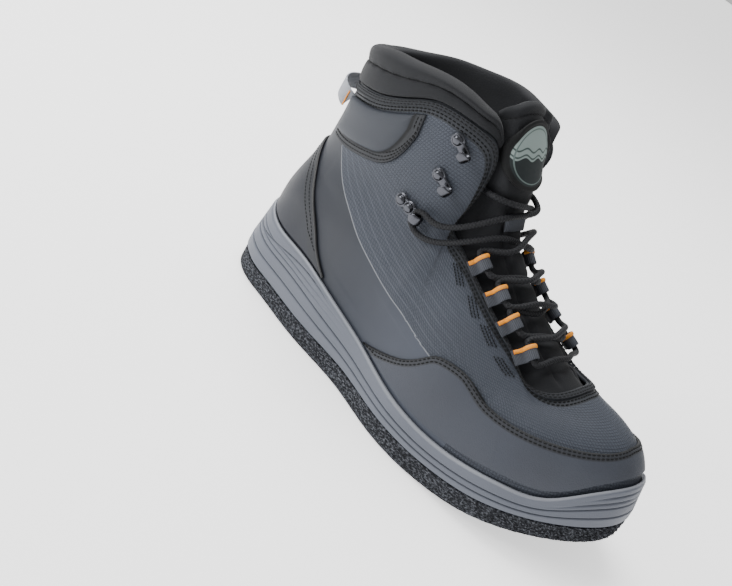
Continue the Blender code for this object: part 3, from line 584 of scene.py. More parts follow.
edge_away = (1 - wall_share) * EDGE_REACH

# Nylon ripstop with a matt polyurethane coat: a fine square grid of doubled threads, and faint pale ones
# beside the film. The film on it is smooth thermoplastic with a soft grain and a little more gloss.
coated_fabric, tree, shader = new_finish("coated_ripstop_and_film", IOR=1.5, Specular_IOR_Level=0.32)
spot = add_node(tree, "ShaderNodeTexCoord", {})
cloth = add_node(tree, "ShaderNodeSeparateXYZ", {0: spot.outputs["UV"]})
film = mark(tree, "film")
# Thread spacing in metres, a little coarser than the real 1.6 mm so that it shows
THREAD_PITCH = 0.0021
grid = []
for axis_name in ("X", "Y"):
    fold = maths(tree, "PINGPONG", cloth.outputs[axis_name], THREAD_PITCH / 2)
    grid.append(ramp(tree, fold, 0.00045, 0.0002))
threads = maths(tree, "MAXIMUM", grid[0], grid[1])
# Pale threads lie 5.6 mm apart, parallel to the film's edge, and fade towards the throat and the toe
pale_fold = maths(tree, "PINGPONG", film, 0.0028)
pale_thread = ramp(tree, pale_fold, 0.0005, 0.00015, 0.0, 0.32)
pale_reach = ramp(tree, film, -0.055, -0.010)
pale_thread = maths(tree, "MULTIPLY", pale_thread, pale_reach)
place_along = add_node(tree, "ShaderNodeSeparateXYZ", {0: spot.outputs["Object"]})
behind_toe = ramp(tree, place_along.outputs["Y"], 0.05, 0.0)
pale_thread = maths(tree, "MULTIPLY", pale_thread, behind_toe)
fibre = noise(tree, spot.outputs["UV"], 1900.0)
drift = noise(tree, spot.outputs["Object"], 28.0, 3.0)
ripstop = mix(tree, threads, "#3b4049", "#30343d")
ripstop = mix(tree, pale_thread, ripstop, "#5d626c")
# Painted shade and light: the film is painted dark at the heel and lighter towards the front
film_painted_shade = ramp(tree, place_along.outputs["Y"], -0.08, 0.03)
film_tone_and_painted_shade = mix(tree, film_painted_shade, "#23262d", "#3e434e")
on_film = ramp(tree, film, -0.0001, 0.0001)
panels = mix(tree, on_film, ripstop, film_tone_and_painted_shade)
# A smooth darker facing, 10 mm wide, runs along the throat and the collar under the stitch rows
edge = mark(tree, "edge")
facing = ramp(tree, edge, 0.0102, 0.0098)
line_away = maths(tree, "ABSOLUTE", film)
film_edge = ramp(tree, line_away, 0.0005, 0.0002)
film_edge = maths(tree, "MULTIPLY", film_edge, 0.6)
panels = mix(tree, film_edge, panels, "#8b8e93")
panels = mix(tree, facing, panels, "#25282d")
rubbed = ramp(tree, drift, 0.3, 0.7, 0.93, 1.07)
panels = add_node(tree, "ShaderNodeVectorMath", {0: panels, 3: rubbed}, operation="SCALE").outputs[0]
gloss = ramp(tree, on_film, 0.0, 1.0, 0.58, 0.5)
open_cloth = maths(tree, "MAXIMUM", on_film, facing)
open_cloth = maths(tree, "SUBTRACT", 1.0, open_cloth)
raised = maths(tree, "MULTIPLY", threads, open_cloth)
weave = maths(tree, "MULTIPLY_ADD", fibre, 0.35, raised)
weave = maths(tree, "MULTIPLY_ADD", on_film, 1.2, weave)
give(tree, shader, panels, gloss, weave, 0.00022)

skin(
    "upper_wall",
    wall,
    coated_fabric,
    ["upper"],
    uv=measure(wall, SIDE_COLUMNS),
    marks={"film": film_side, "edge": edge_away},
)

# Toe rand: a cap of thin rubberised leather-like film round the toe, welded over the ripstop, its upper
# edge held by a black band with two rows of lock stitch.
OVERLAY_GAP = 0.0007
OVERLAY_FOOT = OVERLAY_GAP - 0.0004
OVERLAY_THICKNESS = 0.0012
# Rows of thread in from the edge of each piece, in metres
RAND_ROWS = (0.0013, 0.0034)
# Upper line of the toe rand, from one side over the toe to the other: turn, level
RAND_LINE = np.array([
    (0.548, 0.112),
    (0.500, 0.180),
    (0.440, 0.255),
    (0.378, 0.325),
    (0.335, 0.350),
    (0.305, 0.335),
    (0.300, 0.297),
    (0.297, 0.250),
    (0.272, 0.223),
    (0.231, 0.205),
    (0.186, 0.195),
    (0.136, 0.190),
    (0.072, 0.190),
    (0.000, 0.195),
])


def sole_top(y):
    """Height of the midsole's rim: the underside plus a share of the heel stack."""
    return rocker(y) + HEEL_STACK * cubic(SOLE_SIDE[:, 0], SOLE_SIDE[:, 2], y / SOLE_LENGTH)


def rim_level(turn):
    """Level at which the last leaves the midsole's rim, found by halving its range 30 times."""
    low, high = np.zeros_like(turn), np.full_like(turn, 0.6)
    for _ in range(30):
        middle = (low + high) / 2
        point = ring(turn, middle)
        above = point[..., 2] > sole_top(point[..., 1])
        low, high = np.where(above, low, middle), np.where(above, middle, high)
    return low


def rolled(away, thickness, radius):
    """Height of a sheet at a distance from its edge: a quarter round of the given radius, then flat."""
    return thickness * np.sqrt(np.clip(1 - (1 - np.clip(away / radius, 0, 1)) ** 2, 0, 1))


def slab(outer, inner):
    """Loops of a sheet: out along the outer face and back along the inner one."""
    return np.concatenate([outer, inner[:, ::-1]], axis=1)


def slab_uv(outer):
    """Lengths in metres across and along an outer face, for both faces of its sheet."""
    both = slab(outer, outer)
    across = np.cumsum(np.linalg.norm(np.diff(outer, axis=1, prepend=outer[:, :1]), axis=-1), axis=1)
    along = np.cumsum(np.linalg.norm(np.diff(both, axis=0, prepend=both[:1]), axis=-1), axis=0)
    across = np.concatenate([across, across[:, ::-1], across[:, :1]], axis=1)
    along = np.concatenate([along, along[:, :1]], axis=1)
    table = np.stack([across, along], -1)
    return np.concatenate([table, table[:1]], axis=0)


def sheet(name, outer, inner, look, node, seam=None):
    """Skin over both faces of a sheet; seam is the distance of each point of a face from its seam."""
    both = slab(outer, inner)
    marks = None if seam is None else {"seam": slab(seam, seam)}
    return skin(name, both, look, [node], uv=slab_uv(outer), marks=marks, mirror=both.shape[1] - 1)


def near_to_far(count, power=1.6):
    """Shares from 0 to 1, closer at both ends: half of 1 plus or minus 1 - (1 - |x|) ** power."""
    share = np.linspace(-1, 1, count)
    return (1 + np.sign(share) * (1 - (1 - np.abs(share)) ** power)) / 2


rand_line = track(RAND_LINE, np.linspace(0, 1, 190))
rand_turn = np.concatenate([rand_line[:, 0], -rand_line[-2::-1, 0]])
rand_high = np.concatenate([rand_line[:, 1], rand_line[-2::-1, 1]])
rand_low = rim_level(rand_turn) + LEDGE / UPPER_HEIGHT
rand_level = rand_low[:, None] + (rand_high - rand_low)[:, None] * near_to_far(40)
rand_turn = np.broadcast_to(rand_turn[:, None], rand_level.shape)
rand_away = distance_to(ring(rand_turn, rand_level), ring(rand_turn[:, -1], rand_high))
rand_away[:, -1] = 0
# The stitched band is pressed down a little along its two rows of thread
stitch_press = sum(0.00022 * bell(rand_away - row, 0.0006) for row in RAND_ROWS)
rand_height = OVERLAY_GAP + rolled(rand_away, OVERLAY_THICKNESS, 0.0012) - stitch_press
rand_outer = surface(rand_turn, rand_level, rand_height)
rand_inner = surface(rand_turn, rand_level, OVERLAY_FOOT)

# Rubberised film embossed like fine leather, grain about 0.7 mm: matt, charcoal, black along its seam
rand_film, tree, shader = new_finish("embossed_rand_film", IOR=1.5, Specular_IOR_Level=0.35)
spot = add_node(tree, "ShaderNodeTexCoord", {})
cells = add_node(tree, "ShaderNodeTexVoronoi", {"Vector": spot.outputs["Object"], "Scale": 1300.0})
drift = noise(tree, spot.outputs["Object"], 35.0, 4.0)
seam = mark(tree, "seam")
band = ramp(tree, seam, 0.0050, 0.0044)
base = mix(tree, drift, "#32353d", "#3a3e47")
base = mix(tree, band, base, "#2c2e33")
seam_edge = ramp(tree, seam, 0.0009, 0.0006)
base = mix(tree, seam_edge, base, "#101113")
worn = ramp(tree, drift, 0.3, 0.7, 0.5, 0.62)
give(tree, shader, base, worn, cells.outputs["Distance"], 0.00012)

sheet("toe_rand_film", rand_outer, rand_inner, rand_film, "toe_rand", seam=rand_away)


def sew(name, rows, look, pitch=0.0030, length=0.0022, radius=0.00034):
    """Lock stitches along rows of points (count, 3): a capsule of six sides each, at equal steps.

    A stitch is five rings, wide in the middle, along its own bit of the row; the side directions come from
    the row's direction and one fixed direction.
    """
    stitches = []
    for row in rows:
        step = np.linalg.norm(np.diff(row, axis=0), axis=1)
        place = np.concatenate([[0], np.cumsum(step)])
        middle = np.arange(pitch / 2, place[-1] - pitch / 2, pitch)[:, None]
        reach = length * np.array([-0.5, -0.38, 0.0, 0.38, 0.5])
        spots = np.stack([np.interp(middle + reach, place, column) for column in row.T], -1)
        ahead = spots[:, -1] - spots[:, 0]
        ahead /= np.linalg.norm(ahead, axis=1, keepdims=True)
        aside = np.cross(ahead, [0.31, 0.52, 0.79])
        aside /= np.linalg.norm(aside, axis=1, keepdims=True)
        third = np.cross(ahead, aside)
        angle = np.linspace(0, 2 * np.pi, 7)[:-1]
        wide = radius * np.array([0.35, 0.85, 1.0, 0.85, 0.35])[:, None, None]
        cosine, sine = np.cos(angle)[:, None], np.sin(angle)[:, None]
        circle = aside[:, None, None] * cosine + third[:, None, None] * sine
        stitches.append(spots[:, :, None] + circle * wide)
    return skin(name, np.concatenate(stitches), look, mirror=0)


# Bonded polyester thread, black, twisted: a low sheen
black_thread, tree, shader = new_finish(
    "black_thread", Base_Color=linear("#0c0d0e"), Roughness=0.6, Specular_IOR_Level=0.2
)
spot = add_node(tree, "ShaderNodeTexCoord", {})
twist = add_node(
    tree, "ShaderNodeTexWave", {"Vector": spot.outputs["Object"], "Scale": 1100.0, "Distortion": 1.0}
)
give(tree, shader, height=twist.outputs["Fac"], depth=0.00008)


def inset_row(turn, level, away, inward, high):
    """Row of points at a distance in from a grid's last column, between the points of each row."""
    spots = [
        (
            np.interp(inward, distance[:-20:-1], place[:-20:-1]),
            np.interp(inward, distance[:-20:-1], rise[:-20:-1]),
        )
        for distance, place, rise in zip(away, turn, level)
    ]
    return surface(*np.array(spots).T, high)


rows = [
    inset_row(rand_turn, rand_level, rand_away, inward, OVERLAY_GAP + OVERLAY_THICKNESS - 0.0001)
    for inward in RAND_ROWS
]
sew("rand_stitching", rows, black_thread, radius=0.00048)

# Heel counter: the same film, smooth, cupped round the heel and up to the ankle, with a cord piping in
# its seam and a sewn band behind that.
COUNTER_FOOT = 0.640
# Upper line of the heel counter, from its front edge to the heel ridge: turn, level
COUNTER_LINE = np.array([
    (0.653, 0.367),
    (0.672, 0.478),
    (0.744, 0.585),
    (0.840, 0.645),
    (0.908, 0.667),
    (1.000, 0.672),
])

counter_line = track(COUNTER_LINE, np.linspace(0, 1, 90))
counter_line = np.concatenate([counter_line, counter_line[-2::-1] * (-1, 1) + (2, 0)])
counter_foot = np.linspace(COUNTER_FOOT, 2 - COUNTER_FOOT, len(counter_line))
counter_low = rim_level(signed(counter_foot)) + LEDGE / UPPER_HEIGHT
share = near_to_far(48)
counter_turn = counter_foot[:, None] + (counter_line[:, 0] - counter_foot)[:, None] * share
counter_level = counter_low[:, None] + (counter_line[:, 1] - counter_low)[:, None] * share
counter_signed = signed(counter_turn)
first_side = np.stack([counter_turn[0], counter_level[0]], -1)
last_side = np.stack([counter_turn[-1], counter_level[-1]], -1)
counter_seam = np.concatenate([first_side, counter_line, last_side[::-1]])
# Every so many points of the seam, for one smooth line through it
SEAM_PICKS = np.r_[0:48:6, 48:227:8, 227:275:6]
seam_points = ring(signed(counter_seam[:, 0]), counter_seam[:, 1])
seam_points = track(seam_points[SEAM_PICKS], np.linspace(0, 1, 500))
counter_away = distance_to(ring(counter_signed, counter_level), seam_points)
counter_away[:, -1] = 0
counter_height = OVERLAY_GAP + rolled(counter_away + 0.0002, OVERLAY_THICKNESS, 0.0012)
counter_outer = surface(counter_signed, counter_level, counter_height)
counter_inner = surface(counter_signed, counter_level, OVERLAY_FOOT)

# The counter's film is smooth and near black, with a fine haze of scuffs low on the heel
counter_film, tree, shader = new_finish("counter_film", IOR=1.5, Specular_IOR_Level=0.28)
spot = add_node(tree, "ShaderNodeTexCoord", {})
grain = noise(tree, spot.outputs["Object"], 2200.0)
drift = noise(tree, spot.outputs["Object"], 40.0, 5.0)
seam = mark(tree, "seam")
band = ramp(tree, seam, 0.0075, 0.0070)
base = mix(tree, drift, "#222429", "#2a2c33")
base = mix(tree, band, base, "#26282c")
worn = ramp(tree, drift, 0.3, 0.7, 0.44, 0.58)
give(tree, shader, base, worn, grain, 0.00008)
sheet(
    "heel_counter_film",
    counter_outer,
    counter_inner,
    counter_film,
    "heel_counter",
    seam=counter_away,
)


def sweep(path, wide, high, around=12, power=2.0, up=(0.12, 0.55, 0.83)):
    """Loops of a rod or strap along a path: at each point an oval of half width and half height.

    The oval's height points along up, made square to the path; up is one direction or one a point. Its
    power rounds it: 2 is an ellipse, and more is nearer to a rectangle with round corners.
    """
    ahead = np.gradient(path, axis=0)
    ahead /= np.linalg.norm(ahead, axis=1, keepdims=True)
    aside = np.cross(ahead, np.broadcast_to(up, path.shape))
    aside /= np.linalg.norm(aside, axis=1, keepdims=True)
    upright = np.cross(aside, ahead)
    angle = np.linspace(0, 2 * np.pi, around + 1)[:-1]
    cosine = np.sign(np.cos(angle)) * np.abs(np.cos(angle)) ** (2 / power)
    sine = np.sign(np.sin(angle)) * np.abs(np.sin(angle)) ** (2 / power)
    wide, high = (np.broadcast_to(size, len(path))[:, None, None] for size in (wide, high))
    return path[:, None] + aside[:, None] * cosine[:, None] * wide + upright[:, None] * sine[:, None] * high


def sweep_uv(path, around):
    """Share of the way round and length along a swept rod or strap."""
    along = np.cumsum(np.linalg.norm(np.diff(path, axis=0, prepend=path[:1]), axis=1))
    table = np.stack(np.broadcast_arrays(np.linspace(0, 1, around + 1)[None, :], along[:, None]), -1)
    return np.concatenate([table, table[:1]], axis=0)


# Piping: a cord under a coated tape, sewn into the counter's seam so that it stands proud of the film;
# black and half glossy
piping_tape, tree, shader = new_finish("piping_tape", Base_Color=linear("#141517"), Roughness=0.45)
spot = add_node(tree, "ShaderNodeTexCoord", {})
fibre = noise(tree, spot.outputs["Object"], 1700.0)
give(tree, shader, height=fibre, depth=0.0001)

seam_turn = signed(counter_seam[:, 0])
piping_path = surface(seam_turn, counter_seam[:, 1], OVERLAY_GAP + 0.0004)
piping_path = track(piping_path[SEAM_PICKS], np.linspace(0, 1, 420))
skin(
    "counter_piping",
    sweep(piping_path, 0.0010, 0.0010, up=(0.1, -0.9, 0.3)),
    piping_tape,
    mirror=0,
)
rows = [
    inset_row(counter_signed, counter_level, counter_away, inward, OVERLAY_GAP + OVERLAY_THICKNESS)[5:-5]
    for inward in (0.0028, 0.0062)
]
sew("counter_stitching", rows, black_thread, pitch=0.0026, length=0.0019)

# Ankle pads: foam pillows under a smooth film, set in below the collar on both sides, with a flat sewn
# border along their lower curve and their front.
BINDING_WIDTH = 0.0045
PAD_HEIGHT = 0.0028
# Rows of thread in from the pad's lower curve, and metres that a full step of level takes there
PAD_ROWS = (0.0016, 0.0033, 0.0050)
PAD_RISE = 0.185
# Top of the ankle pad below the edge, in binding widths
PAD_TOP = 1.06
# Lower curve of the ankle pad, which ends under the top edge: turn, level
PAD = np.array([
    (0.800, 0.722),
    (0.747, 0.722),
    (0.642, 0.733),
    (0.569, 0.745),
    (0.519, 0.757),
    (0.481, 0.780),
    (0.455, 0.810),
    (0.435, 0.850),
])


def edge_level(turn):
    """Level of the upper's top edge behind the eyestay."""
    behind = side_edge[np.argmax(side_edge[:, 1] > 0.865) :]
    return np.interp(turn, behind[:, 0], behind[:, 1])


# Smooth film over the foam: satin blue-grey, its sewn border a darker flat band
pad_film, tree, shader = new_finish("ankle_pad_film", IOR=1.5, Specular_IOR_Level=0.28)
spot = add_node(tree, "ShaderNodeTexCoord", {})
grain = noise(tree, spot.outputs["Object"], 2400.0)
drift = noise(tree, spot.outputs["Object"], 60.0, 3.0)
seam = mark(tree, "seam")
border = ramp(tree, seam, 0.0066, 0.0060)
pillow = mix(tree, drift, "#272a31", "#2e3239")
pad_colour = mix(tree, border, pillow, "#1f2125")
edge_line = maths(tree, "SUBTRACT", seam, 0.0066)
edge_line = maths(tree, "ABSOLUTE", edge_line)
edge_line = ramp(tree, edge_line, 0.0009, 0.0005)
pad_colour = mix(tree, edge_line, pad_colour, "#1b1c1e")
worn = ramp(tree, drift, 0.0, 1.0, 0.46, 0.54)
give(tree, shader, pad_colour, worn, grain, 0.00008)

pad_line = track(PAD, np.linspace(0, 1, 130))
pad_high = edge_level(pad_line[:, 0]) - PAD_TOP * BINDING_WIDTH / UPPER_HEIGHT
pad_level = pad_line[:, 1, None] + (pad_high - pad_line[:, 1])[:, None] * near_to_far(60)
pad_turn = np.broadcast_to(pad_line[:, 0, None], pad_level.shape)
for side, sign in (("outer", 1), ("inner", -1)):
    # Distance to the lower curve and the front end, along which the border runs
    low_line = surface(sign * pad_line[:, 0], pad_line[:, 1], 0.0)
    front_line = surface(
        np.full(40, sign * pad_line[-1, 0]), np.linspace(pad_line[-1, 1], pad_high[-1], 40), 0.0
    )
    rear_line = surface(
        np.full(40, sign * pad_line[0, 0]), np.linspace(pad_line[0, 1], pad_high[0], 40), 0.0
    )
    top_line = surface(sign * pad_line[:, 0], pad_high, 0.0)
    spots = surface(sign * pad_turn, pad_level, 0.0)
    border_away = np.minimum(distance_to(spots, low_line), distance_to(spots, front_line))
    rim_away = np.minimum(
        np.minimum(distance_to(spots, top_line), distance_to(spots, rear_line)), border_away
    )
    back_away = np.minimum(distance_to(spots, top_line), distance_to(spots, rear_line) * 0.7)
    swell = np.clip(np.minimum(border_away - 0.0060, back_away) / 0.0085, 0, 1)
    swell = PAD_HEIGHT * np.sqrt(1 - (1 - swell) ** 2)
    press = sum(0.0002 * bell(border_away - row, 0.0006) for row in PAD_ROWS)
    press = press + 0.0005 * bell(border_away - 0.0066, 0.0007)
    pad_height = OVERLAY_GAP + rolled(rim_away, OVERLAY_THICKNESS, 0.0012) + swell - press
    pad_outer = surface(sign * pad_turn, pad_level, pad_height)
    pad_inner = surface(sign * pad_turn, pad_level, OVERLAY_FOOT)
    made = sheet(
        f"ankle_pad_pillow_{side}",
        pad_outer,
        pad_inner,
        pad_film,
        f"ankle_pad_{side}",
        seam=border_away,
    )
    rows = [
        surface(
            sign * pad_line[2:-2, 0],
            pad_line[2:-2, 1] + inward / PAD_RISE,
            OVERLAY_GAP + OVERLAY_THICKNESS - 0.0001,
        )
        for inward in PAD_ROWS
    ]
    front_level = np.linspace(pad_line[-1, 1] + 0.012, pad_high[-1] - 0.006, 20)
    for inward in (0.0016, 0.0042):
        front_turn = sign * (pad_line[-1, 0] + inward / SPREAD[0])
        rows.append(surface(front_turn, front_level, OVERLAY_GAP + OVERLAY_THICKNESS - 0.0001))
    sew(
        f"ankle_pad_stitching_{side}",
        rows,
        black_thread,
        pitch=0.0028,
        length=0.0020,
        radius=0.00042,
    )

# Edge binding: a knitted stretch tape folded over the lip of the throat and the collar and sewn through
# twice. Two more rows of thread behind it hold the eyestay's backing.
BINDING_THICKNESS = 0.001
BINDING_ROWS = (0.0013, 0.0032)

binding_share = np.linspace(0, 1, 14)[:, None]
binding_width = 1 - binding_share * BINDING_WIDTH / EDGE_REACH
binding_turn, binding_level = wall_column(binding_width)
binding_away = binding_share[:, 0] * BINDING_WIDTH
binding_lift = rolled(
    np.minimum(binding_away + 0.0002, BINDING_WIDTH + 0.0002 - binding_away), BINDING_THICKNESS, 0.0008
)
binding_lift = binding_lift - sum(
    0.00018 * bell(binding_away - row, 0.0005)
    for row in BINDING_ROWS
)
binding_outer = surface(binding_turn, binding_level, OVERLAY_GAP + binding_lift[:, None])
binding_inner = surface(binding_turn, binding_level, OVERLAY_FOOT)
binding = np.concatenate([binding_outer, binding_inner[::-1]])

# Knitted stretch tape: fine ribs across it, near black, hardly any sheen
stretch_tape, tree, shader = new_finish(
    "stretch_binding_tape", Base_Color=linear("#24262a"), Roughness=0.68, Specular_IOR_Level=0.25
)
cloth = add_node(tree, "ShaderNodeSeparateXYZ", {0: add_node(tree, "ShaderNodeTexCoord", {}).outputs["UV"]})
rib = maths(tree, "PINGPONG", cloth.outputs["X"], 0.0005)
rib = maths(tree, "MULTIPLY", rib, 2000.0)
give(tree, shader, height=rib, depth=0.00016)
skin(
    "throat_and_collar_binding",
    binding,
    stretch_tape,
    ["edge_binding"],
    uv=measure(binding, SIDE_COLUMNS),
)
rows = []
for inward in BINDING_ROWS:
    row_turn, row_level = wall_column(1 - inward / EDGE_REACH)
    rows.append(surface(row_turn, row_level, OVERLAY_GAP + BINDING_THICKNESS - 0.0002))
# Two more rows behind the binding hold the eyestay's backing
for inward in (0.0062, 0.0085):
    row_turn, row_level = wall_column(1 - inward / EDGE_REACH)
    rows.append(surface(row_turn, row_level, 0.0002)[20:-20])
sew("binding_stitching", rows, black_thread, pitch=0.0030, length=0.0021, radius=0.00045)

# Cuff: collar of soft foam wrapped in neoprene, a round roll above a plain band with one sewn fold
# between them. Its foot is caught behind the upper's edge, and a wing reaches in beside the tongue.
LINING_GAP = 0.0015
CUFF_FOAM = 0.007
CUFF_SWELL = 0.0035
# Of the cuff: least climb and start of its outside in levels, half turn and foam share of its ends
CUFF_CLIMB = 0.012
CUFF_START = 0.004
CUFF_WING = 0.12
CUFF_WING_FOAM = 0.3
# Depth of the sewn fold and height of the puckers along it, in metres
CUFF_FOLD = 0.0014
CUFF_PUCKER = 0.0003
# Rim of the cuff: turn, level
CUFF_RIM = np.array([
    (0.143, 0.897),
    (0.165, 0.922),
    (0.236, 0.952),
    (0.328, 0.966),
    (0.447, 0.968),
    (0.567, 0.957),
    (0.694, 0.945),
    (0.820, 0.930),
    (1.000, 0.921),
])
# Lower end of the cuff inside the upper: turn, level
CUFF_FOOT = np.array([
    (0.143, 0.850),
    (0.200, 0.840),
    (0.260, 0.842),
    (0.400, 0.852),
    (0.600, 0.820),
    (1.000, 0.770),
])
# Section of the cuff: share of the way from the upper's edge to the rim, share of foam, share of swell
CUFF_SECTION = [
    (0.02, 0.0, 0.66),
    (0.25, 0.0, 0.93),
    (0.46, 0.0, 0.92),
    (0.56, 0.0, 0.84),
    (0.66, 0.0, 0.93),
    (0.85, 0.0, 1.00),
    (0.97, 0.25, 0.70),
    (1.00, 0.55, 0.30),
    (0.96, 0.90, 0.10),
    (0.70, 1.0, 0.0),
    (0.30, 1.0, 0.0),
]

cuff_turn = CUFF_RIM[0, 0] + (1 - CUFF_RIM[0, 0]) * np.linspace(0, 1, 150)
cuff_turn = np.concatenate([cuff_turn, 2 - cuff_turn[-2::-1]])
cuff_side = np.where(cuff_turn > 1, 2 - cuff_turn, cuff_turn)
cuff_signed = signed(cuff_turn)
cuff_rim = cubic(CUFF_RIM[:, 0], CUFF_RIM[:, 1], cuff_side)
cuff_foot = cubic(CUFF_FOOT[:, 0], CUFF_FOOT[:, 1], cuff_side)
cuff_edge = np.minimum(edge_level(cuff_side), cuff_rim - CUFF_CLIMB)
cuff_outside = -WALL - LINING_GAP
cuff_wing = smooth((cuff_side - CUFF_RIM[0, 0]) / CUFF_WING)
cuff_inside = cuff_outside - CUFF_FOAM * (CUFF_WING_FOAM + (1 - CUFF_WING_FOAM) * cuff_wing)
cuff_levels = [cuff_foot, cuff_edge + CUFF_START]
cuff_heights = [np.full_like(cuff_foot, cuff_outside)] * 2
for share, depth, swell in CUFF_SECTION:
    cuff_levels.append(cuff_edge + (cuff_rim - cuff_edge) * share + CUFF_START * (1 - share))
    swell_height = (CUFF_SWELL - cuff_outside) * swell * (0.25 + 0.75 * cuff_wing)
    cuff_heights.append(cuff_outside + (cuff_inside - cuff_outside) * depth + swell_height)
cuff_levels += [cuff_edge, cuff_foot]
cuff_heights += [cuff_inside, cuff_inside]
cuff_table = np.stack([np.array(cuff_levels), np.array(cuff_heights) * 5], -1)
# Each section is drawn as one smooth line through its marks, closed at the foot
marks_at = np.linspace(0, 1, len(cuff_table))
line_at = np.linspace(0, 1, 96)


def track_at(section):
    """Smooth line through the marks of one section."""
    return np.stack([cubic(marks_at, column, line_at) for column in section.T], -1)


cuff_lines = np.stack([track_at(section) for section in cuff_table.transpose(1, 0, 2)])
fold_in = bell(line_at - marks_at[5], 0.012)
pucker = (
    CUFF_PUCKER * np.sin(cuff_turn * 95)[:, None] * bell(line_at - marks_at[5], 0.05)
    - CUFF_FOLD * fold_in
)
cuff_points = surface(cuff_signed[:, None], cuff_lines[..., 0], cuff_lines[..., 1] / 5 + pucker)

# Neoprene faced with a fine jersey knit: black, matt, with a soft sheen at a low angle
neoprene, tree, shader = new_finish(
    "jersey_faced_neoprene", Roughness=0.8, Specular_IOR_Level=0.2, Sheen_Weight=0.08, Sheen_Roughness=0.4
)
spot = add_node(tree, "ShaderNodeTexCoord", {})
knit = add_node(tree, "ShaderNodeTexVoronoi", {"Vector": spot.outputs["Object"], "Scale": 1500.0})
drift = noise(tree, spot.outputs["Object"], 45.0, 3.0)
jersey = mix(tree, drift, "#191a1c", "#222326")
give(tree, shader, jersey, None, knit.outputs["Distance"], 0.00012)
collar = skin(
    "padded_cuff",
    cuff_points,
    neoprene,
    ["cuff"],
    uv=slab_uv(cuff_points[:, :48]),
    mirror=cuff_points.shape[1] - 1,
)
fold_at = np.argmin(np.abs(line_at - marks_at[5]))
sew("cuff_stitching", [cuff_points[4:-4, fold_at]], black_thread)

# Tongue: the same neoprene over foam, quilted across between the lace crossings, its top edge folded
# over and sewn, and held at the sides behind the eyestay.
# Tongue: level, half turn of its width, half turn left free by the upper, flat share of that, then height
# of its middle, height of its edges and thickness in shares of CUFF_FOAM
TONGUE = np.array([
    (0.300, 0.110, 0.050, 0.0, -0.70, -0.70, 0.50),
    (0.335, 0.175, 0.100, 0.2, -0.55, -0.58, 0.60),
    (0.375, 0.195, 0.155, 0.3, -0.10, -0.50, 0.80),
    (0.430, 0.195, 0.145, 0.3, 0.25, -0.52, 0.95),
    (0.500, 0.195, 0.140, 0.2, 0.35, -0.58, 1.00),
    (0.570, 0.220, 0.150, 0.1, 0.40, -0.64, 1.05),
    (0.630, 0.245, 0.160, 0.1, 0.45, -0.75, 1.10),
    (0.690, 0.235, 0.150, 0.2, 0.65, -0.75, 1.10),
    (0.740, 0.215, 0.143, 0.4, 0.90, -0.90, 1.10),
    (0.790, 0.205, 0.159, 0.5, 0.90, -1.15, 1.10),
    (0.835, 0.200, 0.172, 0.5, 0.55, -1.35, 1.10),
    (0.890, 0.200, 0.180, 0.5, 0.00, -1.65, 1.10),
    (0.950, 0.200, 0.190, 0.5, -0.65, -1.75, 1.10),
    (1.000, 0.195, 0.190, 0.5, -1.10, -1.80, 0.90),
])
TONGUE_DROOP = 0.055
CHANNEL_DEPTH = 0.0019


def tongue_height(turn, level):
    """Height of the tongue's outer face: a smooth step from that of its edges to that of its middle."""
    free, flat, middle, edge = (cubic(TONGUE[:, 0], TONGUE[:, k], level) for k in (2, 3, 4, 5))
    share = smooth((free - np.abs(turn)) / (free * (1 - flat)))
    return CUFF_FOAM * (edge + (middle - edge) * share)


tongue_row = np.linspace(TONGUE[0, 0], TONGUE[-1, 0], 170)[:, None]
tongue_across = np.linspace(-1, 1, 97)
tongue_turn = cubic(TONGUE[:, 0], TONGUE[:, 1], tongue_row) * tongue_across
tongue_level = tongue_row - TONGUE_DROOP * smooth((tongue_row - 0.7) / 0.3) * tongue_across**2
# Sewn channels part it into pads: across at each loop, and two up each side; one more holds the top fold
across_channels = sum(
    bell(tongue_row - level, 0.010)
    for level in (0.392, 0.450, 0.510, 0.568, 0.628, 0.690)
)
up_channels = (
    sum(bell(tongue_turn - side, 0.010) for side in (-0.052, 0.052))
    * smooth((0.76 - tongue_row) / 0.05)
)
channels = np.maximum(across_channels, up_channels) * smooth((tongue_row - 0.35) / 0.03)
channels = channels + 0.5 * bell(tongue_row - 0.972, 0.006)
channel_depth = CHANNEL_DEPTH * channels * (1 - tongue_across**4)
tongue_outer_height = tongue_height(tongue_turn, tongue_level) - channel_depth
tongue_inner_height = (
    tongue_outer_height
    - CUFF_FOAM * cubic(TONGUE[:, 0], TONGUE[:, 6], tongue_row) * (1 - 0.45 * tongue_across**4)
)
round_off = np.clip(
    np.minimum((1 - np.abs(tongue_across)) / 0.05, (TONGUE[-1, 0] - tongue_row) / 0.012), 0, 1
)
round_off = (
    0.5
    * (1 - np.sqrt(1 - (1 - round_off) ** 2))
    * (tongue_outer_height - tongue_inner_height)
    * 0.9
)
tongue_outer = surface(tongue_turn, tongue_level, tongue_outer_height - round_off)
tongue_inner = surface(tongue_turn, tongue_level, tongue_inner_height + round_off)
made = sheet("padded_tongue", tongue_outer, tongue_inner, neoprene, "tongue")
folded = np.argmin(np.abs(tongue_row[:, 0] - 0.972))
sew("tongue_stitching", [tongue_outer[folded, 8:-8]], black_thread)

# Badge: round woven patch on the tongue, a pale disc with plain rings and wave bars over a dark field,
# a raised black border sewn round it
BADGE_RADIUS = 0.0215
BADGE_THICKNESS = 0.001
BADGE_GAP = 0.0024
BADGE_LEVEL = 0.872
FACE_ROWS = 44
BACK_ROWS = 20

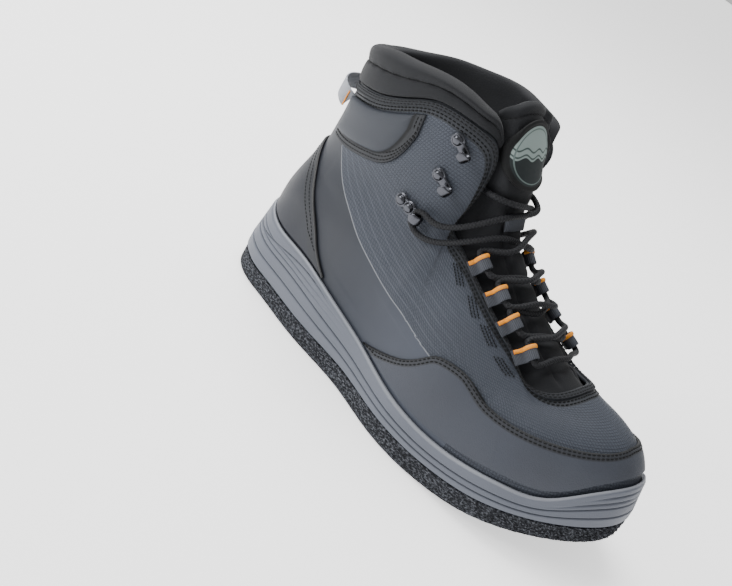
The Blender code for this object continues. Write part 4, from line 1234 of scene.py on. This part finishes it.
turns = np.linspace(-0.2, 0.2, 401)
turn_across = ring(turns, BADGE_LEVEL)[:, 0] - ring(0.0, BADGE_LEVEL)[0]
level_rise = np.linalg.norm(ring(0.0, BADGE_LEVEL + 0.05) - ring(0.0, BADGE_LEVEL)) / 0.05
badge_share = np.concatenate([np.linspace(0.01, 1, FACE_ROWS), np.linspace(1, 0.01, BACK_ROWS)])
badge_radius = BADGE_RADIUS * badge_share[:, None]
angle = np.linspace(0, 2 * np.pi, 121)[:-1]
badge_x, badge_y = badge_radius * np.cos(angle), badge_radius * np.sin(angle)
badge_turn = np.interp(badge_x, turn_across, turns)
badge_level = BADGE_LEVEL + badge_y / level_rise
border = 0.0006 * bell(badge_radius / BADGE_RADIUS - 0.945, 0.04)
badge_lift = np.where(np.arange(FACE_ROWS + BACK_ROWS)[:, None] < FACE_ROWS, BADGE_THICKNESS + border, 0.0)
badge_seat = tongue_height(badge_turn, badge_level) + BADGE_GAP
badge = surface(badge_turn, badge_level, badge_seat + badge_lift)
badge_uv = np.stack([badge_x, badge_y], -1)
badge_uv = np.concatenate([badge_uv, badge_uv[:, :1]], axis=1)
badge_uv = np.concatenate([badge_uv, badge_uv[:1]], axis=0)

# Woven polyester: flat, with fine weft ribs; the pattern is drawn in metres from the disc's middle
woven_patch, tree, shader = new_finish("woven_patch", Roughness=0.7, Specular_IOR_Level=0.2)
spot = add_node(tree, "ShaderNodeTexCoord", {}).outputs["UV"]
cloth = add_node(tree, "ShaderNodeSeparateXYZ", {0: spot})
out = add_node(tree, "ShaderNodeVectorMath", {0: spot}, operation="LENGTH").outputs["Value"]
wave = maths(tree, "MULTIPLY", cloth.outputs["X"], 520.0)
wave = maths(tree, "SINE", wave)
wave = maths(tree, "MULTIPLY_ADD", wave, 0.0011, cloth.outputs["Y"])
low_field = ramp(tree, wave, -0.0015, -0.0018)
bars = maths(tree, "PINGPONG", wave, 0.0019)
bars = ramp(tree, bars, 0.0007, 0.0004)
bars_below = ramp(tree, wave, 0.0055, 0.0052)
bars = maths(tree, "MULTIPLY", bars, bars_below)
ring_fold = maths(tree, "SUBTRACT", out, 0.0165)
ring_fold = maths(tree, "ABSOLUTE", ring_fold)
ring_line = ramp(tree, ring_fold, 0.0005, 0.0003)
rim = ramp(tree, out, 0.0180, 0.0184)
patch_colour = mix(tree, bars, "#7d8a87", "#3c4745")
patch_colour = mix(tree, low_field, patch_colour, "#1d2324")
patch_colour = mix(tree, ring_line, patch_colour, "#566260")
patch_colour = mix(tree, rim, patch_colour, "#0d0e0f")
weft = maths(tree, "PINGPONG", cloth.outputs["Y"], 0.0003)
weft = maths(tree, "MULTIPLY", weft, 3000.0)
give(tree, shader, patch_colour, None, weft, 0.0001)
skin("round_woven_patch", badge, woven_patch, ["tongue_badge"], uv=badge_uv, mirror=0)

# Lace keeper: strip of plain woven polyester webbing, sewn flat to the tongue below the badge, where
# the crossing laces pass over it
KEEPER_LEVEL = 0.690
KEEPER_TURN = 0.055
KEEPER_REACH = 0.020
WEB_THICKNESS = 0.0012

# Polyester webbing, plain woven: ribs 1 mm apart across it, dark grey, dull
webbing, tree, shader = new_finish("ribbed_webbing", Roughness=0.8, Specular_IOR_Level=0.25)
spot = add_node(tree, "ShaderNodeTexCoord", {})
cloth = add_node(tree, "ShaderNodeSeparateXYZ", {0: spot.outputs["UV"]})
ribs = maths(tree, "PINGPONG", cloth.outputs["Y"], 0.0005)
ribs = maths(tree, "MULTIPLY", ribs, 2000.0)
fibre = noise(tree, spot.outputs["Object"], 900.0, 3.0)
web_colour = mix(tree, ribs, "#303237", "#4c4f56")
web_height = maths(tree, "ADD", ribs, fibre)
give(tree, shader, web_colour, None, web_height, 0.00025)

keeper_turn, keeper_level = np.meshgrid(near_to_far(24) * 2 - 1, near_to_far(16) * 2 - 1, indexing="ij")
keeper_round = np.minimum(1 - np.abs(keeper_turn), 1 - np.abs(keeper_level))
keeper_lift = rolled(keeper_round + 0.02, WEB_THICKNESS, 0.25)
keeper_turn, keeper_level = keeper_turn * KEEPER_TURN, KEEPER_LEVEL + keeper_level * KEEPER_REACH
keeper_seat = tongue_height(keeper_turn, keeper_level) + OVERLAY_GAP
keeper_outer = surface(keeper_turn, keeper_level, keeper_seat + keeper_lift)
keeper_inner = surface(keeper_turn, keeper_level, keeper_seat - 0.0006)
sheet("keeper_strip", keeper_outer, keeper_inner, webbing, "lace_keeper")

# Lace loops: eight straps of the same webbing, each folded round the lace and sewn together behind it
# by a bar of orange thread. A box of black stitches holds each tail under the eyestay.
LACE_DIAMETER = 0.0038
LOOP_WIDTH = 0.0095
LOOP_SEAT = 0.0024
EYE_GAP = 0.0009
# Lace loops: turn and level of the sewn end, turn and level of the bartack
LACE_LOOPS = [
    (0.200, 0.586, 0.161, 0.598),
    (0.173, 0.526, 0.133, 0.537),
    (0.160, 0.469, 0.122, 0.482),
    (0.160, 0.408, 0.117, 0.419),
]


def seat_frame(turn, level, toward_turn, toward_level):
    """Origin on the last and its directions: towards the second point, across, and outwards."""
    origin = surface(turn, level, 0.0)
    outwards = normal(turn, level)
    along = surface(toward_turn, toward_level, 0.0) - origin
    reach = np.linalg.norm(along)
    along = along - outwards * (along @ outwards)
    along /= np.linalg.norm(along)
    return origin, along, np.cross(outwards, along), outwards, reach


def seat_height(frame, points):
    """Height of the last's highest point under a seat, over its origin."""
    origin, outwards = frame[0], frame[3]
    return float(((points - origin) @ outwards).max())


def place(seat, along, across, height):
    """Points in a seat's own directions: its origin plus along, across and height times the three."""
    along, across, height = np.broadcast_arrays(along, across, height)
    origin, first, second, third = seat[:4]
    return origin + along[..., None] * first + across[..., None] * second + height[..., None] * third


def square_to(line):
    """Directions square to a line of points along and above a seat."""
    outwards = np.gradient(line, axis=0)[:, ::-1] * (-1, 1)
    return outwards / np.linalg.norm(outwards, axis=1, keepdims=True)


# Polyester thread in dense zigzag: bright orange, satin along the thread
orange_thread, tree, shader = new_finish("orange_bartack_thread", Roughness=0.5)
cloth = add_node(tree, "ShaderNodeSeparateXYZ", {0: add_node(tree, "ShaderNodeTexCoord", {}).outputs["UV"]})
strand = maths(tree, "PINGPONG", cloth.outputs["Y"], 0.00035)
strand = maths(tree, "MULTIPLY", strand, 2800.0)
strand_colour = mix(tree, strand, "#d9780a", "#ffab24")
give(tree, shader, strand_colour, None, strand, 0.0003)

eye = LACE_DIAMETER / 2 + EYE_GAP
middle_radius = eye + WEB_THICKNESS / 2
angle = np.radians(np.linspace(128, -128, 40))
bars = []
for side, sign in (("outer", 1), ("inner", -1)):
    for number, (turn, level, to_turn, to_level) in enumerate(LACE_LOOPS, 1):
        seat = seat_frame(sign * turn, level, sign * to_turn, to_level)
        round_eye = np.column_stack(
            [seat[4] + eye + middle_radius * np.cos(angle), LOOP_SEAT + eye + middle_radius * np.sin(angle)]
        )
        neck = np.array([seat[4] - 0.0016, LOOP_SEAT + 1.55 * WEB_THICKNESS])
        under = np.array([seat[4] - 0.0016, LOOP_SEAT + 0.5 * WEB_THICKNESS])
        line = np.concatenate(
            [
                [(0.0, LOOP_SEAT + 1.5 * WEB_THICKNESS)],
                [neck],
                round_eye,
                [under],
                [(0.0, LOOP_SEAT + 0.5 * WEB_THICKNESS)],
            ]
        )
        line = track(line, np.linspace(0, 1, 90))
        path = place(seat, line[:, 0], 0.0, line[:, 1])
        outwards = square_to(line)
        up = outwards[:, :1] * seat[1] + outwards[:, 1:] * seat[3]
        strap = sweep(path, LOOP_WIDTH / 2, WEB_THICKNESS / 2, around=20, power=5.0, up=up)
        skin(
            f"lace_loop_strap_{side}_{number}",
            strap,
            webbing,
            [f"lace_loop_{side}_{number}"],
            uv=sweep_uv(path, 20),
            mirror=0,
        )
        # The bar runs along the strap's upper edge from its tail to the far side of the eye
        bar_line = (line + outwards * (WEB_THICKNESS / 2 + 0.0002))[2:60]
        bar_at = place(seat, bar_line[:, 0], sign * 0.34 * LOOP_WIDTH, bar_line[:, 1])
        bars.append(sweep(bar_at, 0.0013, 0.0007, up=up[2:60]))
skin("orange_bartacks", np.array(bars), orange_thread, uv=sweep_uv(bar_at, 12), mirror=0)

# Turn and level of the box of stitches that holds each strap's tail under the eyestay
SEWN_BOXES = [(0.236, 0.573), (0.209, 0.512), (0.192, 0.455), (0.194, 0.388)]
rows = []
for sign in (1, -1):
    for turn, level in SEWN_BOXES:
        for column in (-0.009, 0.0, 0.009):
            rows.append(surface(sign * (turn + column), level + np.linspace(-0.024, 0.024, 14), 0.0003))
sew("loop_stitching", rows, black_thread, pitch=0.0018, length=0.0014, radius=0.0004)

# Lace hooks: strips of steel, pressed, curled over at the front and plated in dark nickel. Domed rivets
# hold them to the eyestay, one for each of the upper two and two for the lowest.
HOOK_WIDTH = 0.005
HOOK_METAL = 0.0012
HOOK_REAR = 0.0050
HOOK_FRONT = 0.0085
RIVET_RADIUS = 0.0034
RIVET_PITCH = 0.0075
RIVET_BACK = 0.0010
# Lace hooks: turn and level of the rivet, turn and level of the crook, rivets
HOOKS = [
    (0.300, 0.873, 0.261, 0.848, 1),
    (0.314, 0.785, 0.281, 0.763, 1),
    (0.378, 0.688, 0.340, 0.672, 2),
]
# Section of a hook in its own plane: along and above its seat
HOOK_SECTION = [
    (0.0060, 0.0000),
    (0.0085, 0.0000),
    (0.0108, 0.0012),
    (0.0120, 0.0038),
    (0.0108, 0.0064),
    (0.0085, 0.0075),
    (0.0045, 0.0072),
]


def hook_seat(sign, turn, level, to_turn, to_level, rivets):
    """Frame of a hook, its base's rear end and the height that clears the upper's curve."""
    frame = seat_frame(sign * turn, level, sign * to_turn, to_level)
    rear = -HOOK_REAR - RIVET_PITCH * (rivets - 1)
    share = np.linspace(rear, HOOK_FRONT, 7) / frame[4]
    under = ring(sign * (turn + (to_turn - turn) * share), level + (to_level - level) * share)
    return frame, rear, seat_height(frame, under) + OVERLAY_GAP * rivets


# Nickel-plated steel tinted dark: a metal with light polish marks
dark_nickel, tree, shader = new_finish("dark_nickel_plate", Base_Color=linear("#4c4d52"), Metallic=1.0)
spot = add_node(tree, "ShaderNodeTexCoord", {})
polish = noise(tree, spot.outputs["Object"], 500.0, 4.0)
worn = ramp(tree, polish, 0.3, 0.7, 0.18, 0.32)
give(tree, shader, None, worn, polish, 0.00003)

for side, sign in (("outer", 1), ("inner", -1)):
    for number, row in enumerate(HOOKS, 1):
        seat, rear, base = hook_seat(sign, *row)
        line = np.concatenate([[(rear, 0)], track(np.array(HOOK_SECTION), np.linspace(0, 1, 60))])
        line = track(line[np.r_[0, 1:61:4]], np.linspace(0, 1, 80))
        share = np.linspace(0, 1, 80)
        wide = HOOK_WIDTH / 2 * (1.15 + 0.12 * smooth((share - 0.45) / 0.25))
        wide = (
            wide
            * np.sqrt(np.clip(1 - (1 - np.clip(share / 0.12, 0, 1)) ** 2, 0.02, 1))
            * np.sqrt(np.clip(1 - np.clip((share - 0.93) / 0.07, 0, 1) ** 2, 0.04, 1))
        )
        path = place(seat, line[:, 0], 0.0, base + HOOK_METAL / 2 + line[:, 1])
        outwards = square_to(line)
        up = outwards[:, :1] * seat[1] + outwards[:, 1:] * seat[3]
        plate = sweep(path, wide, 0.0008, around=20, power=2.6, up=up)
        skin(
            f"hook_plate_{side}_{number}",
            plate,
            dark_nickel,
            [f"hook_{side}_{number}"],
            mirror=0,
        )
        # Rivet: a washer and a domed head, turned about the seat's normal
        profile = np.array(
            [
                (0.0002, -0.0006),
                (1.25, -0.0006),
                (1.28, -0.0003),
                (1.25, 0.0),
                (1.0, 0.0002),
                (0.97, 0.0007),
                (0.86, 0.0015),
                (0.66, 0.0021),
                (0.38, 0.0025),
                (0.0002, 0.0026),
            ]
        )
        profile = track(profile * (1, 1000), np.linspace(0, 1, 30)) * (1, 0.001)
        turn_angle = np.linspace(0, 2 * np.pi, 33)[:-1]
        rivets = [
            place(
                seat,
                -RIVET_BACK - RIVET_PITCH * k + RIVET_RADIUS * profile[:, :1] * np.cos(turn_angle),
                RIVET_RADIUS * profile[:, :1] * np.sin(turn_angle),
                base + HOOK_METAL + profile[:, 1:],
            )
            for k in range(row[4])
        ]
        skin(f"hook_rivet_{side}_{number}", np.array(rivets), dark_nickel, mirror=0)

# Pull loop: handle of pale webbing that stands off the back of the heel, its two ends sewn flat to the
# upper with bars of orange thread
GAP = 0.0003
PULL_LOOP_WIDTH = 0.012
PULL_LOOP_SPAN = 0.034
PULL_LOOP_REACH = 0.011
PULL_LOOP_LIFT = 0.0055
PULL_LOOP_LEVEL = 0.800

# The same weave in a paler, cooler grey
pale_webbing, tree, shader = new_finish("pale_webbing", Roughness=0.75)
spot = add_node(tree, "ShaderNodeTexCoord", {})
ribs = add_node(
    tree,
    "ShaderNodeTexWave",
    {"Vector": spot.outputs["Object"], "Scale": 300.0, "Distortion": 1.0},
    bands_direction="Z",
)
web_colour = mix(tree, ribs.outputs["Fac"], "#85888f", "#aeb1b8")
give(tree, shader, web_colour, None, ribs.outputs["Fac"], 0.0003)
share = np.linspace(0, 1, 80)
per_turn = abs(ring(0.9, PULL_LOOP_LEVEL)[0]) / 0.1
handle_turn = 1 - PULL_LOOP_SPAN / 2 * np.cos(np.pi * share) / per_turn
handle = surface(
    signed(handle_turn),
    PULL_LOOP_LEVEL,
    2 * GAP + WEB_THICKNESS / 2 + PULL_LOOP_REACH * np.sin(np.pi * share),
)
handle[:, 2] = ring(1.0, PULL_LOOP_LEVEL)[2] + PULL_LOOP_LIFT * np.sin(np.pi * share)
skin(
    "pull_handle",
    sweep(
        handle,
        PULL_LOOP_WIDTH / 2,
        WEB_THICKNESS / 2,
        around=24,
        power=6.0,
        up=np.cross(np.gradient(handle, axis=0), (0.0, 0.0, 1.0)),
    ),
    pale_webbing,
    ["pull_loop"],
    mirror=0,
)
bars = []
for at in (3, 76):
    outwards = normal(signed(handle_turn[at]), PULL_LOOP_LEVEL)
    spread = np.linspace(-0.45, 0.45, 24)[:, None] * (0.0, 0.0, PULL_LOOP_WIDTH)
    bar_at = handle[at] + outwards * 0.0009 + spread
    bars.append(sweep(bar_at, 0.0012, 0.0006, up=outwards))
skin("handle_bartacks", np.array(bars), orange_thread, uv=sweep_uv(bar_at, 12), mirror=0)

# Lace: one round cord braided from near-black polyester. It is drawn from behind the eyestay down through
# the loops of both sides and up again, and passes round the lowest hook on each side.
BRAID_PITCH = 0.0042


def lace_route():
    """Points of the lace from its outer end down the loops and up again to its inner end."""
    low = 0.0058
    high = 0.0102
    eye = LACE_DIAMETER / 2 + EYE_GAP

    def through_loop(number, sign, up):
        turn, level, to_turn, to_level = LACE_LOOPS[number - 1]
        frame = seat_frame(sign * turn, level, sign * to_turn, to_level)
        return [
            place(frame, frame[4] + eye, sign * up * across, LOOP_SEAT + eye)
            for across in (-0.0068, 0, 0.0068)
        ]

    def round_hook(number, sign, up):
        frame, _, seat = hook_seat(sign, *HOOKS[number - 1])
        loop = ((0.017, -0.0062), (0.0095, -0.0056), (0.0064, -0.0034), (0.0058, 0), (0.0064, 0.0034))
        loop += ((0.0095, 0.0056), (0.017, 0.0062))
        return [
            place(frame, along, sign * up * across, seat + HOOK_METAL + 0.0028)
            for along, across in loop
        ]

    route = [surface(0.187, 0.774, -0.0051), surface(0.165, 0.771, -0.0049), surface(0.150, 0.767, -0.0043)]
    route += [surface(0.122, 0.760, 0.0040), surface(0.09, 0.752, 0.0080)]
    route += [surface(0.06, 0.745, high), surface(0.0, 0.735, high), surface(-0.08, 0.722, high - 0.002)]
    route += round_hook(3, -1, -1)
    route += [surface(-0.09, 0.662, high), surface(0.0, 0.645, high), surface(0.08, 0.622, high - 0.002)]
    route += through_loop(1, 1, -1)
    for number in (1, 2, 3):
        sign = 1 if number % 2 else -1
        level = (LACE_LOOPS[number - 1][3] + LACE_LOOPS[number][3]) / 2
        route += [surface(sign * 0.05, level + 0.004, low), surface(-sign * 0.05, level - 0.008, low)]
        route += through_loop(number + 1, -sign, -1)
    route += [
        surface(-0.05, 0.404, low - 0.001),
        surface(0.0, 0.400, low),
        surface(0.05, 0.404, low - 0.001),
    ]
    route += through_loop(4, 1, 1)
    for number in (3, 2, 1):
        sign = -1 if number % 2 else 1
        level = (LACE_LOOPS[number - 1][3] + LACE_LOOPS[number][3]) / 2
        route += [surface(-sign * 0.05, level - 0.006, high), surface(0.0, level, high + 0.0008)]
        route += [surface(sign * 0.05, level + 0.006, high)]
        route += through_loop(number, sign, 1)
    route += [
        surface(-0.09, 0.622, low + 0.001),
        surface(0.0, 0.640, low),
        surface(0.09, 0.655, low + 0.002),
    ]
    route += round_hook(3, 1, 1)
    route += [
        surface(0.10, 0.702, high - 0.001),
        surface(0.0, 0.712, high),
        surface(-0.06, 0.730, high + 0.0022),
    ]
    route += [
        surface(-0.09, 0.752, 0.0080),
        surface(-0.122, 0.760, 0.0040),
        surface(-0.150, 0.767, -0.0043),
    ]
    return route + [surface(-0.165, 0.771, -0.0049), surface(-0.187, 0.774, -0.0051)]


route = track(np.array(lace_route()), np.linspace(0, 1, 2100))
braid_angle = np.linspace(0, 2 * np.pi, 17)[:-1]
lace = sweep(route, 1.0, 1.0, around=16, up=(0.12, 0.62, 0.78))
along = np.cumsum(np.linalg.norm(np.diff(route, axis=0, prepend=route[:1]), axis=1))[:, None]
winding = np.pi * along / BRAID_PITCH
plait = np.abs(np.sin(2 * braid_angle + winding)) + np.abs(np.sin(2 * braid_angle - winding))
lace_radius = LACE_DIAMETER / 2 * (0.93 + 0.055 * plait)
lace = route[:, None] + (lace - route[:, None]) * lace_radius[..., None]

# Braided multifilament: plaits 2 mm long crossing both ways, near black, with a soft sheen on each
braid, tree, shader = new_finish("braided_cord", Roughness=0.62, Specular_IOR_Level=0.25)
cloth = add_node(tree, "ShaderNodeSeparateXYZ", {0: add_node(tree, "ShaderNodeTexCoord", {}).outputs["UV"]})
plaits = []
for sign in (1.0, -1.0):
    turned = maths(tree, "MULTIPLY", cloth.outputs["X"], 4.0 * sign)
    turned = maths(tree, "MULTIPLY_ADD", cloth.outputs["Y"], 480.0, turned)
    turned = maths(tree, "PINGPONG", turned, 0.5)
    plaits.append(turned)
crossing = maths(tree, "ADD", plaits[0], plaits[1])
cord_colour = mix(tree, crossing, "#0b0c0e", "#1e1f23")
give(tree, shader, cord_colour, None, crossing, 0.00045)
skin("braided_lace", lace, braid, ["laces"], uv=sweep_uv(route, 16), mirror=0)

# Midsole: moulded foam cup, its side cut with long grooves, higher at the heel and over the toe, with a
# thin rolled rim against the upper
FELT_THICKNESS = 0.012
RIM_THICKNESS = 0.0032
GROOVE_DEPTH = 0.0011

sole_turn = np.linspace(-1, 1, 541)[:-1]
sole_turn = sole_turn + 0.02 * np.sin(2 * np.pi * sole_turn)
sole_level = rim_level(sole_turn)
sole_rim = surface(sole_turn, sole_level, GAP + RIM_THICKNESS)
sole_rim[:, 2] = sole_top(sole_rim[:, 1])
sole_foot = outline(sole_turn, 0)
sole_foot = np.column_stack([sole_foot, rocker(sole_foot[:, 1]) + FELT_THICKNESS + GAP])
sole_out = normal(sole_turn, np.zeros_like(sole_turn))
side_share = np.linspace(0, 1, 84)[:, None]
bulge = np.interp(
    side_share, [0, 0.06, 0.27, 0.50, 0.92, 1.0], [-0.0008, 0.0010, 0.0014, 0.0008, 0.0, -0.0012]
)
side_height = np.linalg.norm(sole_rim - sole_foot, axis=1)
side_rise = side_share * side_height
turn_size = np.abs(sole_turn)
heel_only = smooth((turn_size - 0.56) / 0.12)
# Grooves along the side: share of its height, depth, and where round the boot it is cut
grooves = [
    (0.30, GROOVE_DEPTH, np.ones_like(turn_size)),
    (0.53, GROOVE_DEPTH, np.ones_like(turn_size)),
    (0.64 + 0.10 * (1 - heel_only), 0.0007, heel_only),
    (0.74 + 0.14 * (1 - heel_only), 0.0007, heel_only),
    (
        0.90 - 0.34 * smooth((turn_size - 0.60) / 0.36),
        0.0010,
        smooth((turn_size - 0.60) / 0.05) * smooth((1 - turn_size) / 0.05),
    ),
]
groove_mark = np.zeros(side_rise.shape)
for share, depth, where in grooves:
    cut = depth / GROOVE_DEPTH * where * bell((side_share - share) * side_height, 0.00042)
    groove_mark = np.maximum(groove_mark, cut)
# Two short ripples over the toe bumper
for share, middle_turn, length in ((0.80, 0.05, 0.07), (0.66, 0.09, 0.09)):
    along_ripple = np.exp(-(((sole_turn - middle_turn) / length) ** 4))
    ripple = 0.8 * along_ripple * bell((side_share - share) * side_height, 0.0006)
    groove_mark = np.maximum(groove_mark, ripple)
sole_side = sole_foot + (sole_rim - sole_foot) * side_share[..., None]
sole_side = sole_side + sole_out * (bulge - GROOVE_DEPTH * groove_mark)[..., None]
rim_in = [surface(sole_turn, sole_level * share, OVERLAY_GAP) for share in (0.985, 0.96, 0.8, 0.5, 0.2)]
rim_in.append(surface(sole_turn, np.zeros_like(sole_turn), OVERLAY_GAP))
rim_in[-1][:, 2] = deck(rim_in[-1][:, 1]) - GAP
midsole = np.concatenate([sole_side, np.array(rim_in)])
midsole_marks = np.concatenate([groove_mark, np.zeros((6, len(sole_turn)))])
midsole_rim = np.concatenate(
    [(1 - side_share) * side_height + np.zeros_like(bulge), np.zeros((6, len(sole_turn)))]
)

# Compression-moulded EVA: satin blue-grey with a fine pebble grain, its grooves painted darker as painted
# shade
moulded_foam, tree, shader = new_finish("moulded_eva_foam", IOR=1.48, Specular_IOR_Level=0.4)
spot = add_node(tree, "ShaderNodeTexCoord", {})
grain = add_node(tree, "ShaderNodeTexVoronoi", {"Vector": spot.outputs["Object"], "Scale": 1500.0})
drift = noise(tree, spot.outputs["Object"], 30.0, 4.0)
groove = mark(tree, "groove")
rim = mark(tree, "rim")
foam = mix(tree, drift, "#535760", "#5f636d")
rim_band = ramp(tree, rim, 0.0017, 0.0009)
foam = mix(tree, rim_band, foam, "#7d8087")
# Painted shade: the grooves are painted darker, most where they are cut deepest
painted_groove_shade = ramp(tree, groove, 0.4, 1.0, 0.0, 0.7)
foam = mix(tree, painted_groove_shade, foam, "#303236")
satin = ramp(tree, drift, 0.3, 0.7, 0.5, 0.62)
give(tree, shader, foam, satin, grain.outputs["Distance"], 0.00009)
skin(
    "moulded_midsole",
    midsole,
    moulded_foam,
    ["midsole"],
    marks={"groove": midsole_marks, "rim": midsole_rim},
    mirror=0,
)

# Felt outsole: needled polyester sheet cut to the outline and glued under the midsole, its edge left
# fuzzy, with a sewn groove that runs round its underside
FELT_BEVEL = 0.001
GROOVE_INSET = 0.015
SEWN_GROOVE = 0.0014
FELT_FUZZ = 0.00022

under = [
    0.034,
    0.028,
    0.022,
    GROOVE_INSET + 0.0022,
    GROOVE_INSET + 0.0011,
    GROOVE_INSET,
    GROOVE_INSET - 0.0011,
    GROOVE_INSET - 0.0022,
    0.009,
    0.005,
    0.0025,
    FELT_BEVEL,
]
felt_rows = [(inset, SEWN_GROOVE * bell(inset - GROOVE_INSET, 0.0011)) for inset in under]
felt_rows += [
    (FELT_BEVEL * (1 - np.sin(a)), FELT_BEVEL * (1 - np.cos(a)))
    for a in np.radians([22, 45, 67])
]
felt_rows += [(0.0, height) for height in np.linspace(FELT_BEVEL, FELT_THICKNESS - 0.0004, 14)]
felt_rows += [(0.0006, FELT_THICKNESS), (0.010, FELT_THICKNESS)]
felt_turn = np.linspace(-1, 1, 721)[:-1]
felt_turn = felt_turn + 0.02 * np.sin(2 * np.pi * felt_turn)
felt = []
for number, (inset, height) in enumerate(felt_rows):
    plane = outline(felt_turn, inset)
    fuzz = FELT_FUZZ * np.sin(felt_turn * 713 + 2.1 * number) * np.sin(felt_turn * 431 + 1.3 * number**1.7)
    plane = plane * (1 + (fuzz * (12 <= number < 29))[:, None] / 0.06)
    felt.append(np.column_stack([plane, rocker(plane[:, 1]) + height]))

# Needled polyester felt, cut and hard: black with grey fibres, rough all through, no gloss
needled_felt, tree, shader = new_finish("needled_felt", Roughness=0.97, Specular_IOR_Level=0.1)
spot = add_node(tree, "ShaderNodeTexCoord", {})
lengthened = {"Vector": spot.outputs["Object"], "Scale": (1.0, 1.0, 2.2)}
stretch = add_node(tree, "ShaderNodeMapping", lengthened).outputs[0]
rough_noise = {"Vector": stretch, "Scale": 520.0, "Detail": 5.0, "Roughness": 0.75}
fibre = add_node(tree, "ShaderNodeTexNoise", rough_noise).outputs["Fac"]
clump = noise(tree, spot.outputs["Object"], 160.0, 3.0)
speckle = ramp(tree, fibre, 0.48, 0.66)
melange = mix(tree, speckle, "#232427", "#73767d")
thick = maths(tree, "ADD", fibre, clump)
give(tree, shader, melange, None, thick, 0.0014)
skin("needled_felt_sole", np.array(felt), needled_felt, ["felt_outsole"], mirror=0)

# Insole: footbed die-cut from a foam sheet faced with brushed cloth, its rim rounded, laid loose on the
# deck inside the boot
INSOLE_THICKNESS = 0.005

footbed_turn = np.linspace(-1, 1, 241)[:-1]
footbed_line = surface(footbed_turn, np.zeros_like(footbed_turn), -WALL - 2 * LINING_GAP)
footbed_middle = np.stack([axis(footbed_line[:, 1]), footbed_line[:, 1]], -1)
footbed = []
for share, height in (
    (0.04, 0),
    (0.5, 0),
    (0.97, 0),
    (1.0, 0.12),
    (1.0, 0.8),
    (0.975, 1.0),
    (0.8, 0.98),
    (0.5, 0.96),
    (0.25, 0.95),
    (0.04, 0.95),
):
    plane = footbed_middle + (footbed_line[:, :2] - footbed_middle) * share
    footbed.append(np.column_stack([plane, deck(plane[:, 1]) + INSOLE_THICKNESS * height]))

# Brushed polyester on foam: dark grey, soft, with a short nap
brushed_cloth, tree, shader = new_finish("brushed_footbed_cloth", Roughness=0.9, Sheen_Weight=0.3)
spot = add_node(tree, "ShaderNodeTexCoord", {})
nap = noise(tree, spot.outputs["Object"], 1200.0, 3.0)
nap_colour = mix(tree, nap, "#2c2d30", "#44464a")
give(tree, shader, nap_colour, None, nap, 0.0003)
skin("cloth_faced_insole", np.array(footbed), brushed_cloth, ["insole"], mirror=0)

# Studio: a large sheet of white paper that glows a little, two square softboxes under a pale sky, and
# the camera
FLOOR_SIZE = 6.0

corners = FLOOR_SIZE / 2 * np.array([(-1, -1, 0), (1, -1, 0), (1, 1, 0), (-1, 1, 0)])
mesh = bpy.data.meshes.new("studio_floor")
mesh.from_pydata(corners.tolist(), [], [(0, 1, 2, 3)])
floor = bpy.data.objects.new("studio_floor", mesh)
bpy.context.collection.objects.link(floor)
white_paper, tree, shader = new_finish(
    "white_paper",
    Base_Color=linear("#fafafa"),
    Roughness=0.9,
    Emission_Color=linear("#ffffff"),
    Emission_Strength=1.0,
)
grain = noise(tree, add_node(tree, "ShaderNodeTexCoord", {}).outputs["Object"], 900.0)
give(tree, shader, height=grain, depth=0.00002)
mesh.materials.append(white_paper)

studio = bpy.data.worlds.new("studio_air")
bpy.context.scene.world = studio
studio.use_nodes = True
air = studio.node_tree.nodes["Background"]
air.inputs["Color"].default_value = (1.0, 1.0, 1.0, 1)
air.inputs["Strength"].default_value = 0.62


def aim(thing, at, target, roll=0.0):
    """Turns a light or camera at a place so that its -Z looks at the target, then rolls it."""
    back = np.array(at, float) - target
    back /= np.linalg.norm(back)
    right = np.cross((0.0, 0.0, 1.0), back)
    right /= np.linalg.norm(right)
    up = np.cross(back, right)
    first = np.cos(roll) * right + np.sin(roll) * up
    second = np.cos(roll) * up - np.sin(roll) * right
    table = np.eye(4)
    table[:3] = np.column_stack([first, second, back, at])
    thing.matrix_world = Matrix(table.tolist())


# Softboxes: place, target, side in metres, power in watts
softboxes = {
    "softbox_over": ((-0.10, -0.55, 1.20), (0.0, 0.0, 0.05), 0.9, 24.0),
    "softbox_side": ((1.10, -0.90, 0.75), (0.0, 0.0, 0.08), 0.7, 15.0),
}
for name, (at, target, size, power) in softboxes.items():
    lamp = bpy.data.lights.new(name, "AREA")
    lamp.shape = "SQUARE"
    lamp.size = size
    lamp.energy = power
    made = bpy.data.objects.new(name, lamp)
    bpy.context.collection.objects.link(made)
    aim(made, at, np.array(target))

# Camera on the photograph's side of the boot: place on the last, distance, roll, lens and shift
CAMERA_AT = ORIGIN + (0.6146, 0.4204, 0.3900)
CAMERA_TARGET = ORIGIN + (0.0, 0.161, 0.080)
CAMERA_ROLL = np.radians(33.59)
lens = bpy.data.cameras.new("studio_camera")
lens.sensor_width = 36.0
lens.lens = 56.35
lens.shift_x = -0.138
lens.shift_y = 0.0186
lens.clip_start = 0.01
camera = bpy.data.objects.new("studio_camera", lens)
bpy.context.collection.objects.link(camera)
aim(camera, CAMERA_AT, CAMERA_TARGET, CAMERA_ROLL)
bpy.context.scene.camera = camera
